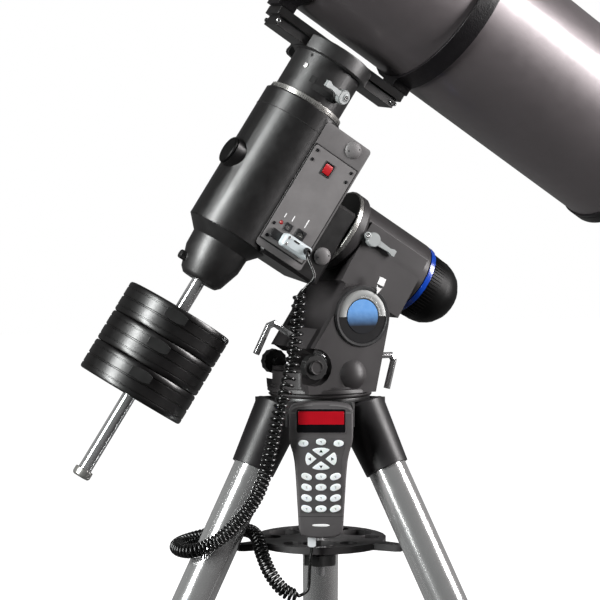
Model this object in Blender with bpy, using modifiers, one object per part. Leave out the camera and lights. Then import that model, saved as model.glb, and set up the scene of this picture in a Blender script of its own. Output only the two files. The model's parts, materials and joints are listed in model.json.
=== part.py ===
"""Telescope on tripod: a reflector tube on a motorised equatorial mount, with a steel tripod.

Metres, +Z up.  The azimuth axis of the mount is vertical and the pole lies toward -X.
"""

import math

import bmesh
import bpy
from mathutils import Matrix, Vector

# ------------------------------------------------------------------ driving dimensions
GAP = 0.0003
HUB_HEIGHT = 0.850
LATITUDE = math.radians(31.1)
RA_REST = math.radians(-6.8)

AXIS_CROSS = Vector((-0.0866, 0.0, 0.2764))
LAT_PIVOT = Vector((0.0295, 0.0, 0.097))

BASE_R = 0.070
BASE_BOTTOM = -0.0084
CHEEK_IN = 0.0512
CHEEK_OUT = 0.063
CHEEK_TOP_R = 0.041
BLOCK_TOP = 0.028

RA_R = 0.0507
RA_HALF_WIDTH = 0.0503
RA_START = 0.130
RA_END = 0.255
CAP_LENGTH = 0.066

BOLT_N = (0.84, 0.0, -0.5426)
BOLT_CORNER = (-0.0724, 0.0, 0.0905)
BOLT_S_Z = 0.040
TAIL_X = (0.0150, 0.0330)
TAIL_LOW = 0.0325

DEC_R = 0.0557
DEC_BOTTOM = -0.085
DEC_TOP = 0.109
DEC_RING_TOP = 0.1159
NECK_R = 0.0475
NECK_TOP = 0.1706
FLANGE_R = 0.0543
FLANGE_TOP = 0.1915
BOX_HALF = 0.0525
BOX_SOUTH = 0.0935

SHAFT_R = 0.009
SHAFT_END = -0.4377
WEIGHT_R = 0.074
WEIGHT_T = 0.0421
WEIGHT_TOP = -0.2011
WEIGHT_COUNT = 3

TUBE_R = 0.114
TUBE_WALL = 0.0015
TUBE_STEPS = 36
TUBE_FRONT = -0.500
TUBE_REAR = 0.437
RING_W = 0.026
RING_WALL = 0.006
RING_FOOT = 0.0095
RING_AT = (-0.098, 0.096)
PLATE_HALF_LENGTH = 0.105
PLATE_TOP = 0.1965
TUBE_AXIS = PLATE_TOP + RING_FOOT + RING_WALL + TUBE_R

LEG_LEAN = math.radians(27.72)
LEG_ANGLES = (182.89, 302.89, 62.89)
LEG_PIVOT_R = 0.0661
LEG_PIVOT_Z = -0.034
LEG_TUBE_R = 0.0254
LEG_TUBE_WALL = 0.0033
LEG_SLIDE_FIT = 0.0006
LEG_TUBE_LEN = 0.565
SOCKET_TOP_R = 0.034
SOCKET_LOW_R = LEG_TUBE_R + 0.0038
SOCKET_LEN = 0.0895
SOCKET_TOP = 0.0147
LOWER_LEG_R = LEG_TUBE_R - LEG_TUBE_WALL - LEG_SLIDE_FIT
FOOT_R = 0.016

TRAY_TOP = -0.198
TRAY_T = 0.009
TRAY_R = 0.088
TRAY_FIT = 0.0006
TRAY_ARM = (LEG_PIVOT_R + (LEG_PIVOT_Z - TRAY_TOP) * math.tan(LEG_LEAN)
            - LEG_TUBE_R / math.cos(LEG_LEAN) - TRAY_FIT)

HAND_FRONT = 0.112
HAND_T = 0.026
HAND_TOP = -0.0085
HAND_ANGLE = 243.7

COIL_R = 0.0092
LEAD_R = 0.0021


# ------------------------------------------------------------------ scene and helpers
for old in list(bpy.data.objects):
    bpy.data.objects.remove(old, do_unlink=True)
for old in list(bpy.data.collections):
    bpy.data.collections.remove(old)

PARTS = bpy.data.collections.new("telescope_on_tripod")
CUTTERS = bpy.data.collections.new("cutters")
bpy.context.scene.collection.children.link(PARTS)
bpy.context.scene.collection.children.link(CUTTERS)


def material(name, colour, roughness, metallic):
    mat = bpy.data.materials.new(name)
    mat.use_nodes = True
    shader = mat.node_tree.nodes["Principled BSDF"]
    shader.inputs["Base Color"].default_value = (*colour, 1.0)
    shader.inputs["Roughness"].default_value = roughness
    shader.inputs["Metallic"].default_value = metallic
    return mat


BLACK = material("black_powder_coat", (0.030, 0.030, 0.032), 0.42, 0.3)
GREY = material("panel_grey", (0.095, 0.090, 0.092), 0.5, 0.2)
CHROME = material("chrome", (0.82, 0.83, 0.84), 0.08, 1.0)
SILVER = material("satin_aluminium", (0.62, 0.63, 0.62), 0.3, 1.0)
BLUE = material("blue_anodised", (0.02, 0.10, 0.45), 0.25, 0.6)
RED = material("red_plastic", (0.65, 0.03, 0.03), 0.35, 0.0)
PLASTIC = material("black_plastic", (0.015, 0.015, 0.016), 0.4, 0.0)
TUBE_PAINT = material("gunmetal_paint", (0.055, 0.050, 0.055), 0.22, 0.6)
RUBBER = material("rubber", (0.012, 0.012, 0.012), 0.7, 0.0)
WHITE = material("white_plastic", (0.85, 0.85, 0.84), 0.35, 0.0)
GLASS = material("mirror_glass", (0.7, 0.75, 0.8), 0.05, 1.0)


def axes(origin, x_axis, y_axis, z_axis):
    m = Matrix.Identity(4)
    for i, column in enumerate((x_axis, y_axis, z_axis, origin)):
        for j in range(3):
            m[j][i] = column[j]
    return m


def shift(x=0.0, y=0.0, z=0.0):
    return Matrix.Translation((x, y, z))


def turn(degrees, axis):
    return Matrix.Rotation(math.radians(degrees), 4, axis)


def empty(name, matrix, parent=None):
    obj = bpy.data.objects.new(name, None)
    obj.empty_display_size = 0.03
    PARTS.objects.link(obj)
    attach(obj, matrix, parent)
    return obj


def attach(obj, matrix, parent):
    """Puts obj at matrix, a placement in mount coordinates, under parent."""
    world_of[obj.name] = matrix.copy()
    if parent is None:
        obj.matrix_local = matrix
        return
    obj.parent = parent
    obj.matrix_parent_inverse = Matrix.Identity(4)
    obj.matrix_local = world_of[parent.name].inverted() @ matrix


world_of = {}


def finish(obj, mat, matrix, parent, cutter=False, angle=35):
    if cutter:
        CUTTERS.objects.link(obj)
        obj.hide_render = True
        obj.display_type = "WIRE"
    else:
        PARTS.objects.link(obj)
    if mat is not None:
        obj.data.materials.append(mat)
    attach(obj, matrix, parent)
    if obj.type == "MESH":
        obj.data.shade_smooth()
        if len(obj.data.polygons):
            obj.data.set_sharp_from_angle(angle=math.radians(angle))
    return obj


def turned(name, profile, mat, matrix, parent, steps=24, closed=False, cutter=False):
    """A turned piece: profile is (radius, height), down the outer side, about local Z."""
    mesh = bpy.data.meshes.new(name)
    bm = bmesh.new()
    verts = [bm.verts.new((r, 0.0, z)) for r, z in profile]
    for a, b in zip(verts, verts[1:]):
        bm.edges.new((a, b))
    if closed:
        bm.edges.new((verts[-1], verts[0]))
    bm.to_mesh(mesh)
    bm.free()
    obj = bpy.data.objects.new(name, mesh)
    finish(obj, mat, matrix, parent, cutter)
    screw = obj.modifiers.new("turn", "SCREW")
    screw.steps = steps
    screw.render_steps = steps
    screw.use_merge_vertices = True
    screw.merge_threshold = 0.00001
    screw.use_smooth_shade = True
    return obj


def disc(name, radius, top, bottom, mat, matrix, parent, steps=24, bevel=0.0, cutter=False):
    if bevel:
        profile = [(0, top), (radius - bevel, top), (radius, top - bevel)]
        profile += [(radius, bottom + bevel), (radius - bevel, bottom), (0, bottom)]
    else:
        profile = [(0, top), (radius, top), (radius, bottom), (0, bottom)]
    return turned(name, profile, mat, matrix, parent, steps, cutter=cutter)


def ring(name, outer, inner, top, bottom, mat, matrix, parent, steps=24, cutter=False):
    profile = [(inner, top), (outer, top), (outer, bottom), (inner, bottom)]
    return turned(name, profile, mat, matrix, parent, steps, closed=True, cutter=cutter)


def box(name, low, high, mat, matrix, parent, bevel=0.0, segments=1, cutter=False):
    mesh = bpy.data.meshes.new(name)
    bm = bmesh.new()
    bmesh.ops.create_cube(bm, size=1.0)
    low, high = Vector(low), Vector(high)
    bmesh.ops.scale(bm, vec=high - low, verts=bm.verts)
    bmesh.ops.translate(bm, vec=(low + high) / 2, verts=bm.verts)
    bm.to_mesh(mesh)
    bm.free()
    obj = bpy.data.objects.new(name, mesh)
    finish(obj, mat, matrix, parent, cutter)
    if bevel:
        edge = obj.modifiers.new("edges", "BEVEL")
        edge.width = bevel
        edge.segments = segments
        edge.limit_method = "ANGLE"
    return obj


def outline(name, loops, thickness, mat, matrix, parent, cutter=False):
    """A flat outline with holes, extruded by thickness about local Z = 0, as a mesh."""
    curve = bpy.data.curves.new(name, "CURVE")
    curve.dimensions = "2D"
    curve.fill_mode = "BOTH"
    curve.extrude = thickness / 2
    for loop in loops:
        spline = curve.splines.new("POLY")
        spline.points.add(len(loop) - 1)
        for point, (x, y) in zip(spline.points, loop):
            point.co = (x, y, 0.0, 1.0)
        spline.use_cyclic_u = True
    guide = bpy.data.objects.new(name + "_outline", curve)
    bpy.context.scene.collection.objects.link(guide)
    bpy.context.view_layer.update()
    graph = bpy.context.evaluated_depsgraph_get()
    mesh = bpy.data.meshes.new_from_object(guide.evaluated_get(graph))
    bpy.data.objects.remove(guide, do_unlink=True)
    bm = bmesh.new()
    bm.from_mesh(mesh)
    bmesh.ops.remove_doubles(bm, verts=bm.verts, dist=0.00001)
    bmesh.ops.recalc_face_normals(bm, faces=bm.faces)
    bm.to_mesh(mesh)
    bm.free()
    mesh.materials.clear()
    obj = bpy.data.objects.new(name, mesh)
    return finish(obj, mat, matrix, parent, cutter)


def wire(name, points, radius, mat, parent, resolution=2, mesh=False):
    """A round bar or cord through points given in mount coordinates."""
    curve = bpy.data.curves.new(name, "CURVE")
    curve.dimensions = "3D"
    curve.bevel_depth = radius
    curve.bevel_resolution = resolution
    curve.use_fill_caps = True
    spline = curve.splines.new("POLY")
    spline.points.add(len(points) - 1)
    for point, p in zip(spline.points, points):
        point.co = (p[0], p[1], p[2], 1.0)
    obj = bpy.data.objects.new(name, curve)
    if not mesh:
        return finish(obj, mat, Matrix.Identity(4), parent)
    bpy.context.scene.collection.objects.link(obj)
    bpy.context.view_layer.update()
    graph = bpy.context.evaluated_depsgraph_get()
    solid = bpy.data.meshes.new_from_object(obj.evaluated_get(graph))
    bpy.data.objects.remove(obj, do_unlink=True)
    bm = bmesh.new()
    bm.from_mesh(solid)
    bmesh.ops.remove_doubles(bm, verts=bm.verts, dist=0.00001)
    bmesh.ops.recalc_face_normals(bm, faces=bm.faces)
    bm.to_mesh(solid)
    bm.free()
    solid.materials.clear()
    return finish(bpy.data.objects.new(name, solid), mat, Matrix.Identity(4), parent)


def combine(obj, other, operation):
    step = obj.modifiers.new(operation.lower(), "BOOLEAN")
    step.operation = operation
    step.solver = "EXACT"
    step.object = other
    return obj


def add(obj, *others):
    for other in others:
        combine(obj, other, "UNION")
    return obj


def cut(obj, *others):
    for other in others:
        combine(obj, other, "DIFFERENCE")
    return obj


def circle(x, y, radius, count=20, start=0.0):
    step = 2 * math.pi / count
    return [
        (x + radius * math.cos(start + step * i), y + radius * math.sin(start + step * i))
        for i in range(count)
    ]


def ellipse(x, y, half_x, half_y, tilt=0.0, count=8):
    points = []
    for i in range(count):
        a = 2 * math.pi * i / count
        u, v = half_x * math.cos(a), half_y * math.sin(a)
        c, s = math.cos(tilt), math.sin(tilt)
        points.append((x + u * c - v * s, y + u * s + v * c))
    return points


def lobed(radius, depth, lobes, count=32):
    """A hand-knob outline with a whole number of lobes."""
    points = []
    for i in range(count):
        a = 2 * math.pi * i / count
        r = radius - depth * (0.5 - 0.5 * math.cos(lobes * a))
        points.append((r * math.cos(a), r * math.sin(a)))
    return points


def smooth_route(points, spacing):
    """Points along a smooth curve through the given route, at most spacing apart."""
    path = [Vector(p) for p in points]
    ends = [path[0] * 2 - path[1]] + path + [path[-1] * 2 - path[-2]]
    out = [path[0]]
    for i in range(len(path) - 1):
        a, b, c, d = ends[i : i + 4]
        count = max(1, math.ceil((c - b).length / spacing))
        for k in range(1, count + 1):
            t = k / count
            point = 2 * b + (c - a) * t + (2 * a - 5 * b + 4 * c - d) * t * t
            point = point + (3 * b - a - 3 * c + d) * t * t * t
            out.append(point / 2)
    return out


# ------------------------------------------------------------------ placements
UP = Vector((0, 0, 1))
SOUTH = Vector((math.cos(LATITUDE), 0, -math.sin(LATITUDE)))
OVER = Vector((math.sin(LATITUDE), 0, math.cos(LATITUDE)))
EAST = Vector((0, 1, 0))
SPIN = Matrix.Rotation(RA_REST, 4, -SOUTH)
DEC_UP = (SPIN @ OVER).normalized()
DEC_SIDE = (SPIN @ EAST).normalized()

MOUNT = Matrix.Identity(4)
RA_FRAME = axes(AXIS_CROSS, SOUTH, EAST, OVER)
HEAD_FRAME = axes(AXIS_CROSS, SOUTH, DEC_SIDE, DEC_UP)
ALONG_RA = HEAD_FRAME @ axes((0, 0, 0), (0, 0, -1), (0, 1, 0), (1, 0, 0))
BODY_ALONG_RA = RA_FRAME @ axes((0, 0, 0), (0, 0, -1), (0, 1, 0), (1, 0, 0))
FACE_OUT = axes((0, 0, 0), (1, 0, 0), (0, 0, 1), (0, -1, 0))
# FACE_OUT turns local Z toward the -Y side of a frame, local Y up

root = empty("root", MOUNT)
azimuth = empty("azimuth_axis", MOUNT, root)
latitude = empty("latitude_axis", shift(*LAT_PIVOT), azimuth)
ra_axis = empty("ra_axis", RA_FRAME, latitude)
dec_axis = empty("dec_axis", HEAD_FRAME, ra_axis)


# ------------------------------------------------------------------ tripod
def leg_frame(angle):
    a = math.radians(angle)
    outward = Vector((math.cos(a), math.sin(a), 0))
    across = Vector((-math.sin(a), math.cos(a), 0))
    up_leg = UP * math.cos(LEG_LEAN) - outward * math.sin(LEG_LEAN)
    normal = across.cross(up_leg)
    pivot = outward * LEG_PIVOT_R + UP * LEG_PIVOT_Z
    return axes(pivot, normal, across, up_leg)


def make_head():
    top = BASE_BOTTOM - GAP
    profile = [(0, top), (0.0655, top), (0.066, top - 0.001), (0.066, top - 0.0055)]
    profile += [(0.027, top - 0.0065), (0.025, -0.050), (0.020, -0.054), (0, -0.054)]
    head = turned("tripod_head", profile, BLACK, MOUNT, root, 24)
    for angle in LEG_ANGLES:
        spoke = MOUNT @ turn(angle, "Z")
        for side in (-1, 1):
            y = side * (SOCKET_TOP_R + 0.0045)
            low = (0.004, min(y, y + side * 0.006), LEG_PIVOT_Z - 0.010)
            high = (0.0740, max(y, y + side * 0.006), top - 0.0030)
            add(head, box("ear", low, high, None, spoke, root, cutter=True))
            across = spoke @ shift(LEG_PIVOT_R, 0, LEG_PIVOT_Z) @ turn(90, "X")
        bore = disc("ear_bore", 0.0048, 0.060, -0.060, None, across, root, 8, cutter=True)
        cut(head, bore)
    cut(head, disc("rod_bore", 0.0068, 0.02, -0.08, None, MOUNT, root, 12, cutter=True))
    return head


def make_legs(head):
    floor = -HUB_HEIGHT + (BASE_BOTTOM - GAP)
    to_foot = (LEG_PIVOT_Z - floor - FOOT_R) / math.cos(LEG_LEAN)
    for tag, angle in zip("abc", LEG_ANGLES):
        frame = leg_frame(angle)
        hinge = empty("leg_hinge_" + tag, frame, root)
        low = SOCKET_TOP - SOCKET_LEN
        profile = [(0, SOCKET_TOP), (SOCKET_TOP_R - 0.003, SOCKET_TOP)]
        profile += [(SOCKET_TOP_R, SOCKET_TOP - 0.003), (SOCKET_LOW_R, low), (0, low)]
        socket = turned("leg_socket_" + tag, profile, BLACK, frame, hinge, 20)
        pin_at = frame @ turn(90, "X")
        reach = SOCKET_TOP_R + 0.0045 + 0.006 + 0.004
        pin = disc("pin", 0.0044, reach, -reach, None, pin_at, hinge, 8, cutter=True)
        heads = []
        for side in (-1, 1):
            z = sorted((side * (reach - 0.0037), side * (reach + 0.001)))
            heads.append(disc("pin_head", 0.007, z[1], z[0], None, pin_at, hinge, 6, cutter=True))
        add(socket, pin, *heads)
        end = low - GAP - LEG_TUBE_LEN
        inner = LEG_TUBE_R - LEG_TUBE_WALL
        profile = [(inner, low - GAP), (LEG_TUBE_R, low - GAP), (LEG_TUBE_R, end + 0.045)]
        collar = LEG_TUBE_R + 0.0061
        profile += [(collar, end + 0.043), (collar, end + 0.002), (collar - 0.0015, end)]
        profile += [(inner, end)]
        upper = turned("leg_tube_" + tag, profile, CHROME, frame, hinge, 24, closed=True)
        boss_at = frame @ shift(0, 0, end + 0.022) @ turn(90, "Y")
        face = LEG_TUBE_R + 0.0156
        add(upper, disc("boss", 0.009, face, face - 0.014, None, boss_at, hinge, 12, cutter=True))
        slide = empty("leg_slide_" + tag, frame @ shift(0, 0, end), hinge)
        core = LOWER_LEG_R - 0.0025
        profile = [(0, -0.300), (LOWER_LEG_R, -0.300), (LOWER_LEG_R, -to_foot + 0.055)]
        sleeve = LOWER_LEG_R + 0.003
        profile += [(sleeve, -to_foot + 0.052), (sleeve, -to_foot + 0.012)]
        profile += [(FOOT_R, -to_foot + 0.004)]
        profile += [
            (FOOT_R * math.cos(t), -to_foot - FOOT_R * math.sin(t))
            for t in (0.0, 0.5, 1.0)
        ]
        profile += [(0, -to_foot - FOOT_R)]
        turned("lower_leg_" + tag, profile, CHROME, frame, slide, 20)
        knob_at = boss_at @ shift(0, 0, face + GAP)
        spin = empty("leg_knob_axis_" + tag, knob_at, hinge)
        knob = disc("leg_lock_knob_" + tag, 0.007, 0.010, 0.0, PLASTIC, knob_at, spin, 12)
        wings = [(0.024, 0.005), (0.021, 0.008), (-0.021, 0.008)]
        wings += [(-0.024, 0.005), (-0.024, -0.005), (-0.021, -0.008), (0.021, -0.008), (0.024, -0.005)]
        wing_at = knob_at @ shift(0, 0, 0.014)
        add(knob, outline("wing", [wings], 0.010, None, wing_at, spin, cutter=True))


def make_tray():
    slide = empty("tray_slide", shift(0, 0, TRAY_TOP), root)
    loop = []
    half = math.degrees(math.asin(0.012 / TRAY_R))
    for angle in LEG_ANGLES[2:] + LEG_ANGLES[:2]:
        a = math.radians(angle)
        out, side = Vector((math.cos(a), math.sin(a))), Vector((-math.sin(a), math.cos(a)))
        for reach, width in ((TRAY_ARM - 0.006, -0.008), (TRAY_ARM, -0.004)):
            loop.append(tuple(out * reach + side * width))
        for reach, width in ((TRAY_ARM, 0.004), (TRAY_ARM - 0.006, 0.008)):
            loop.append(tuple(out * reach + side * width))
        for k in range(9):
            b = math.radians(angle + half + (120 - 2 * half) * k / 8)
            loop.append((TRAY_R * math.cos(b), TRAY_R * math.sin(b)))
    holes = [circle(0, 0, 0.0075, 12)]
    for angle in LEG_ANGLES:
        for turn_by, at, radius in ((60, 0.6364, 0.2557), (27, 0.75, 0.1477), (95, 0.7273, 0.1420)):
            b = math.radians(angle + turn_by)
            at = at * TRAY_R
            holes.append(circle(at * math.cos(b), at * math.sin(b), radius * TRAY_R, 12))
    middle = shift(0, 0, TRAY_TOP - TRAY_T / 2)
    tray = outline("tray", [loop] + holes, TRAY_T, BLACK, middle, slide)
    rod_top = BASE_BOTTOM - 0.012
    end = TRAY_TOP - TRAY_T - 0.044
    profile = [(0, rod_top), (0.0060, rod_top), (0.0060, end + 0.001), (0.005, end), (0, end)]
    turned("center_rod", profile, CHROME, MOUNT, root, 12)

    spin = empty("tray_knob_axis", shift(0, 0, TRAY_TOP - TRAY_T - GAP), slide)
    low = TRAY_TOP - TRAY_T - GAP
    profile = [(0.0066, low), (0.0155, low), (0.0155, low - 0.004), (0.0095, low - 0.006)]
    profile += [(0.0095, low - 0.016), (0.0066, low - 0.016)]
    knob = turned("tray_knob", profile, PLASTIC, MOUNT, spin, 16, closed=True)
    head_at = shift(0, 0, low - 0.021)
    loops = [lobed(0.0235, 0.004, 6, 24), circle(0, 0, 0.0066, 12)]
    add(knob, outline("tray_knob_head", loops, 0.014, None, head_at, spin, cutter=True))


# ------------------------------------------------------------------ fork and base
def cheek_loop():
    x, z = LAT_PIVOT.x, LAT_PIVOT.z
    loop = [(-0.048, -0.002), (0.050, -0.002)]
    for k in range(10):
        a = math.radians(-18 + (180 + 12) * k / 9)
        loop.append((x + CHEEK_TOP_R * math.cos(a), z + CHEEK_TOP_R * math.sin(a)))
    loop.append((-0.052, 0.040))
    return loop


def make_mount_base():
    low = BASE_BOTTOM
    profile = [(0, 0.006), (0.0655, 0.006), (0.0655, 0.0035), (0.069, 0.0025)]
    profile += [(BASE_R, 0.0005), (BASE_R, -0.0022), (0.067, -0.0042), (0.067, -0.0058)]
    profile += [(0.069, -0.0066), (0.0675, low), (0, low)]
    base = turned("mount_base", profile, BLACK, MOUNT, azimuth, 28)
    inside = CHEEK_IN + 0.001
    add(base, box("block", (-0.049, -inside, 0.001), (0.052, inside, BLOCK_TOP), None, MOUNT,
                  azimuth, cutter=True))
    add(base, disc("drum", 0.064, 0.024, 0.0, None, MOUNT, azimuth, 20, cutter=True))
    width = CHEEK_OUT - CHEEK_IN
    middle = (CHEEK_OUT + CHEEK_IN) / 2
    for side in (-1, 1):
        at = axes((0, side * middle, 0), (1, 0, 0), (0, 0, 1), (0, -1, 0))
        add(base, outline("cheek", [cheek_loop()], width, None, at, azimuth, cutter=True))
    add(base, box("rear_bar", (0.040, -inside, 0.024), (0.057, inside, 0.052), None, MOUNT,
                  azimuth, cutter=True))
    bar_at = Vector(BOLT_CORNER) + Vector(BOLT_N) * 0.0475
    lean = axes(bar_at, (BOLT_N[0], 0, BOLT_N[2]), (0, 1, 0), (-BOLT_N[2], 0, BOLT_N[0]))
    add(base, box("front_bar", (-0.008, -inside, -0.015), (0.008, inside, 0.015), None, lean,
                  azimuth, cutter=True))
    arc = [(0.029 * math.sin(k * math.pi / 6), 0.029 * math.cos(k * math.pi / 6)) for k in range(7)]
    bulge = turned("bulge", arc, None, shift(0.016, -0.041, 0.0215), azimuth, 14, cutter=True)
    add(base, bulge)
    knobs = ((-0.0395, -1), (-0.0395, 1))
    for x, side in knobs:
        at = axes((x, side * (CHEEK_OUT + 0.010), 0.0328), (1, 0, 0), (0, 0, 1), (0, -1, 0))
        cut(base, disc("pocket", 0.0245, 0.0285, -0.0285, None, at, azimuth, 16, cutter=True))
    bore_r = 0.0056
    cut(base, disc("bolt_bore_s", bore_r, 0.03, -0.03, None,
                   shift(0.052, 0, BOLT_S_Z) @ turn(90, "Y"), azimuth, 12, cutter=True))
    cut(base, disc("bolt_bore_n", bore_r, 0.03, -0.03, None,
                   lean @ turn(90, "Y"), azimuth, 12, cutter=True))
    return base


def make_azimuth_knobs():
    for tag, side in (("a", -1), ("b", 1)):
        z_axis = Vector((0, side, 0))
        x_axis = Vector((1, 0, 0))
        at = axes((-0.0395, side * (CHEEK_OUT - 0.0179), 0.0328), x_axis, z_axis.cross(x_axis), z_axis)
        spin = empty("azimuth_knob_axis_" + tag, at, azimuth)
        knob = disc("azimuth_knob_" + tag, 0.0055, 0.010, 0.0, PLASTIC, at, spin, 12)
        head = outline("knob_head", [lobed(0.0168, 0.0012, 12, 36)], 0.013, None,
                       at @ shift(0, 0, 0.0145), spin, cutter=True)
        hub = disc("knob_hub", 0.0096, 0.0235, 0.015, None, at, spin, 16, bevel=0.0012, cutter=True)
        add(knob, head, hub)


def make_latitude_bolts():
    reach = (TAIL_X[0] - 0.0036 - BOLT_CORNER[0]) / BOLT_N[0]
    along = Vector(BOLT_N)
    tip_n = Vector(BOLT_CORNER) + along * reach
    slide_n = empty("latitude_bolt_slide_n", Matrix.Translation(tip_n), azimuth)
    elbow = tip_n - along * (reach - 0.006)
    end = Vector((-0.0936, 0, 0.048))
    corner = tip_n - along * reach
    points = [tip_n, elbow, corner + (end - corner).normalized() * 0.007, end]
    wire("latitude_bolt_n", points, 0.0048, CHROME, slide_n, 2, mesh=True)
    start = Vector((TAIL_X[1] + 0.0010, 0, BOLT_S_Z))
    slide_s = empty("latitude_bolt_slide_s", Matrix.Translation(start), azimuth)
    corner = Vector((0.1130, 0, BOLT_S_Z))
    end = Vector((0.1010, 0, -0.0050))
    points = [start, corner - Vector((0.006, 0, 0))]
    points += [corner + (end - corner).normalized() * 0.007, end]
    wire("latitude_bolt_s", points, 0.0048, CHROME, slide_s, 2, mesh=True)


# ------------------------------------------------------------------ polar axis body
def make_ra_body():
    at = BODY_ALONG_RA
    profile = [(0, RA_END), (RA_R - 0.002, RA_END), (RA_R, RA_END - 0.002), (RA_R, RA_START + 0.016)]
    profile += [(0.0560, RA_START + 0.010), (0.0560, RA_START), (0, RA_START)]
    body = turned("ra_body", profile, BLACK, at, latitude, 30)
    w = RA_HALF_WIDTH
    add(body, box("flat", (0.147, -w, -0.066), (0.246, w, 0.0225), None, RA_FRAME, latitude,
                  cutter=True))
    pivot = RA_FRAME.inverted() @ LAT_PIVOT
    lug_at = RA_FRAME @ shift(pivot.x, 0, pivot.z) @ turn(90, "X")
    add(body, disc("lug", 0.038, w, -w, None, lug_at, latitude, 24, cutter=True))
    add(body, box("web", (0.155, -w, pivot.z), (0.228, w, -0.050), None, RA_FRAME, latitude,
                  cutter=True))
    add(body, box("tail", (TAIL_X[0], -0.011, TAIL_LOW), (TAIL_X[1], 0.011, LAT_PIVOT.z), None,
                  MOUNT, latitude, cutter=True))
    return body


def lever(name, at, length, parent):
    """A clutch lever: round hub on local Z, with an arm along local X."""
    spin = empty(name + "_axis", at, parent)
    hub = disc(name, 0.0098, 0.0085, GAP, SILVER, at, spin, 16, bevel=0.001)
    arm = [(0.0, 0.0045), (length - 0.010, 0.0026), (length - 0.004, 0.0046)]
    arm += [(length, 0.0040), (length, -0.0040), (length - 0.004, -0.0046)]
    arm += [(length - 0.010, -0.0026), (0.0, -0.0045)]
    add(hub, outline("arm", [arm], 0.0045, None, at @ shift(0, 0, 0.0055), spin, cutter=True))
    return hub


def make_ra_parts():
    at = BODY_ALONG_RA
    ring("ra_circle", 0.0560, 0.030, RA_START - GAP, RA_START - 0.0058, SILVER, at, latitude, 28)
    face = RA_FRAME @ axes((0.1467, -RA_HALF_WIDTH, 0.0020), (1, 0, 0), (0, 0, 1), (0, -1, 0))
    face = face @ shift(0.0112, 0.0, 0.0)
    lever("ra_lever", face, 0.0370, latitude)
    ring("polar_ring", 0.0500, 0.020, RA_END + 0.0080, RA_END + GAP, BLUE, at, latitude, 24)
    low = RA_END + 0.0083
    top = low + CAP_LENGTH
    profile = [(0, top), (0.014, top - 0.001), (0.027, top - 0.006), (0.037, top - 0.015)]
    profile += [(0.0430, top - 0.026), (0.0455, top - 0.036), (0.0460, low), (0, low)]
    cap_slide = empty("polar_cap_slide", at @ shift(0, 0, low), latitude)
    turned("polar_cap", profile, PLASTIC, at, cap_slide, 20)


# ------------------------------------------------------------------ declination head
def make_dec_housing():
    at = HEAD_FRAME
    profile = [(0, DEC_TOP), (DEC_R - 0.002, DEC_TOP), (DEC_R, DEC_TOP - 0.002)]
    profile += [(DEC_R, DEC_BOTTOM), (0, DEC_BOTTOM)]
    housing = turned("dec_housing", profile, BLACK, at, ra_axis, 28)
    b = BOX_HALF
    main = box("motor_box", (0.0, -b, -0.0800), (BOX_SOUTH, b, 0.1035), None, at, ra_axis,
               0.007, 2, cutter=True)
    lower = box("drive_box", (0.030, -b + 0.0004, DEC_BOTTOM + GAP), (RA_START - 0.0064, b - 0.0004, 0.024),
                None, at, ra_axis, 0.004, 1, cutter=True)
    add(housing, main, lower)
    for s, t, r in ((0.0690, 0.0905, 0.0115), (0.1085, -0.0465, 0.0115)):
        dome_at = at @ axes((s, -b + 0.001, t), (1, 0, 0), (0, 0, 1), (0, -1, 0))
        profile = [(0, 0.0045), (0.005, 0.0041), (0.009, 0.003), (r, 0.0006), (r, -0.004), (0, -0.004)]
        add(housing, turned("cover_dome", profile, None, dome_at, ra_axis, 10, cutter=True))
    well = box("switch_well", (0.0451, -b - 0.001, 0.0418), (0.0579, -b + 0.006, 0.0586), None, at,
               ra_axis, cutter=True)
    bore = disc("shaft_bore", SHAFT_R + 0.0005, DEC_BOTTOM + 0.050, DEC_BOTTOM - 0.01, None, at,
                ra_axis, 16, cutter=True)
    port_at = at @ axes((-DEC_R, -0.012, 0.006), (0, 0, 1), (0, 1, 0), (-1, 0, 0))
    port = disc("port", 0.0200, 0.0045, -0.012, None, port_at, ra_axis, 24, cutter=True)
    socket = disc("port_seat", 0.0170, 0.008, -0.0005, None, port_at, ra_axis, 24, cutter=True)
    add(housing, port)
    cut(housing, well, bore, socket)
    cap_at = port_at @ shift(0, 0, -0.0005 + GAP)
    pull = empty("port_cap_slide", cap_at, ra_axis)
    profile = [(0, 0.0095), (0.0165, 0.0095), (0.0185, 0.0080), (0.0185, 0.0053), (0.0167, 0.0053)]
    profile += [(0.0167, 0.0), (0, 0.0)]
    turned("port_cap", profile, PLASTIC, cap_at, pull, 24)


def make_panel():
    b = BOX_HALF + GAP
    at = HEAD_FRAME @ axes((0, -b - 0.00075, 0), (1, 0, 0), (0, 0, 1), (0, -1, 0))
    loop = [(0.0215, -0.0685), (0.0875, -0.0690), (0.0885, -0.0680), (0.0885, 0.0690)]
    loop += [(0.0875, 0.0700), (0.0225, 0.0700), (0.0205, 0.0680), (0.0205, -0.0675)]
    hole = [(0.0455, 0.0422), (0.0575, 0.0422), (0.0575, 0.0582), (0.0455, 0.0582)]
    panel = outline("control_panel", [loop, hole], 0.0015, GREY, at, ra_axis)
    centre = HEAD_FRAME @ shift(0.0515, -b + 0.0006, 0.0502)
    rock = empty("switch_axis", centre, ra_axis)
    body = [(0.0066, 0.0024), (0.0066, -0.0024), (0.0030, -0.0044), (-0.0030, -0.0044)]
    body += [(-0.0066, -0.0024), (-0.0066, 0.0024), (-0.0030, 0.0037), (0.0030, 0.0037)]
    side = centre @ axes((0, 0, 0), (0, 0, 1), (0, -1, 0), (1, 0, 0))
    outline("power_switch", [body], 0.0108, RED, side, rock)
    front = -b - 0.0015 - GAP
    hood = box("cord_plug", (0.0430, front - 0.0170, -0.0655), (0.0860, front, -0.0475), WHITE,
               HEAD_FRAME, ra_axis, 0.003, 1)
    return panel, hood


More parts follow.
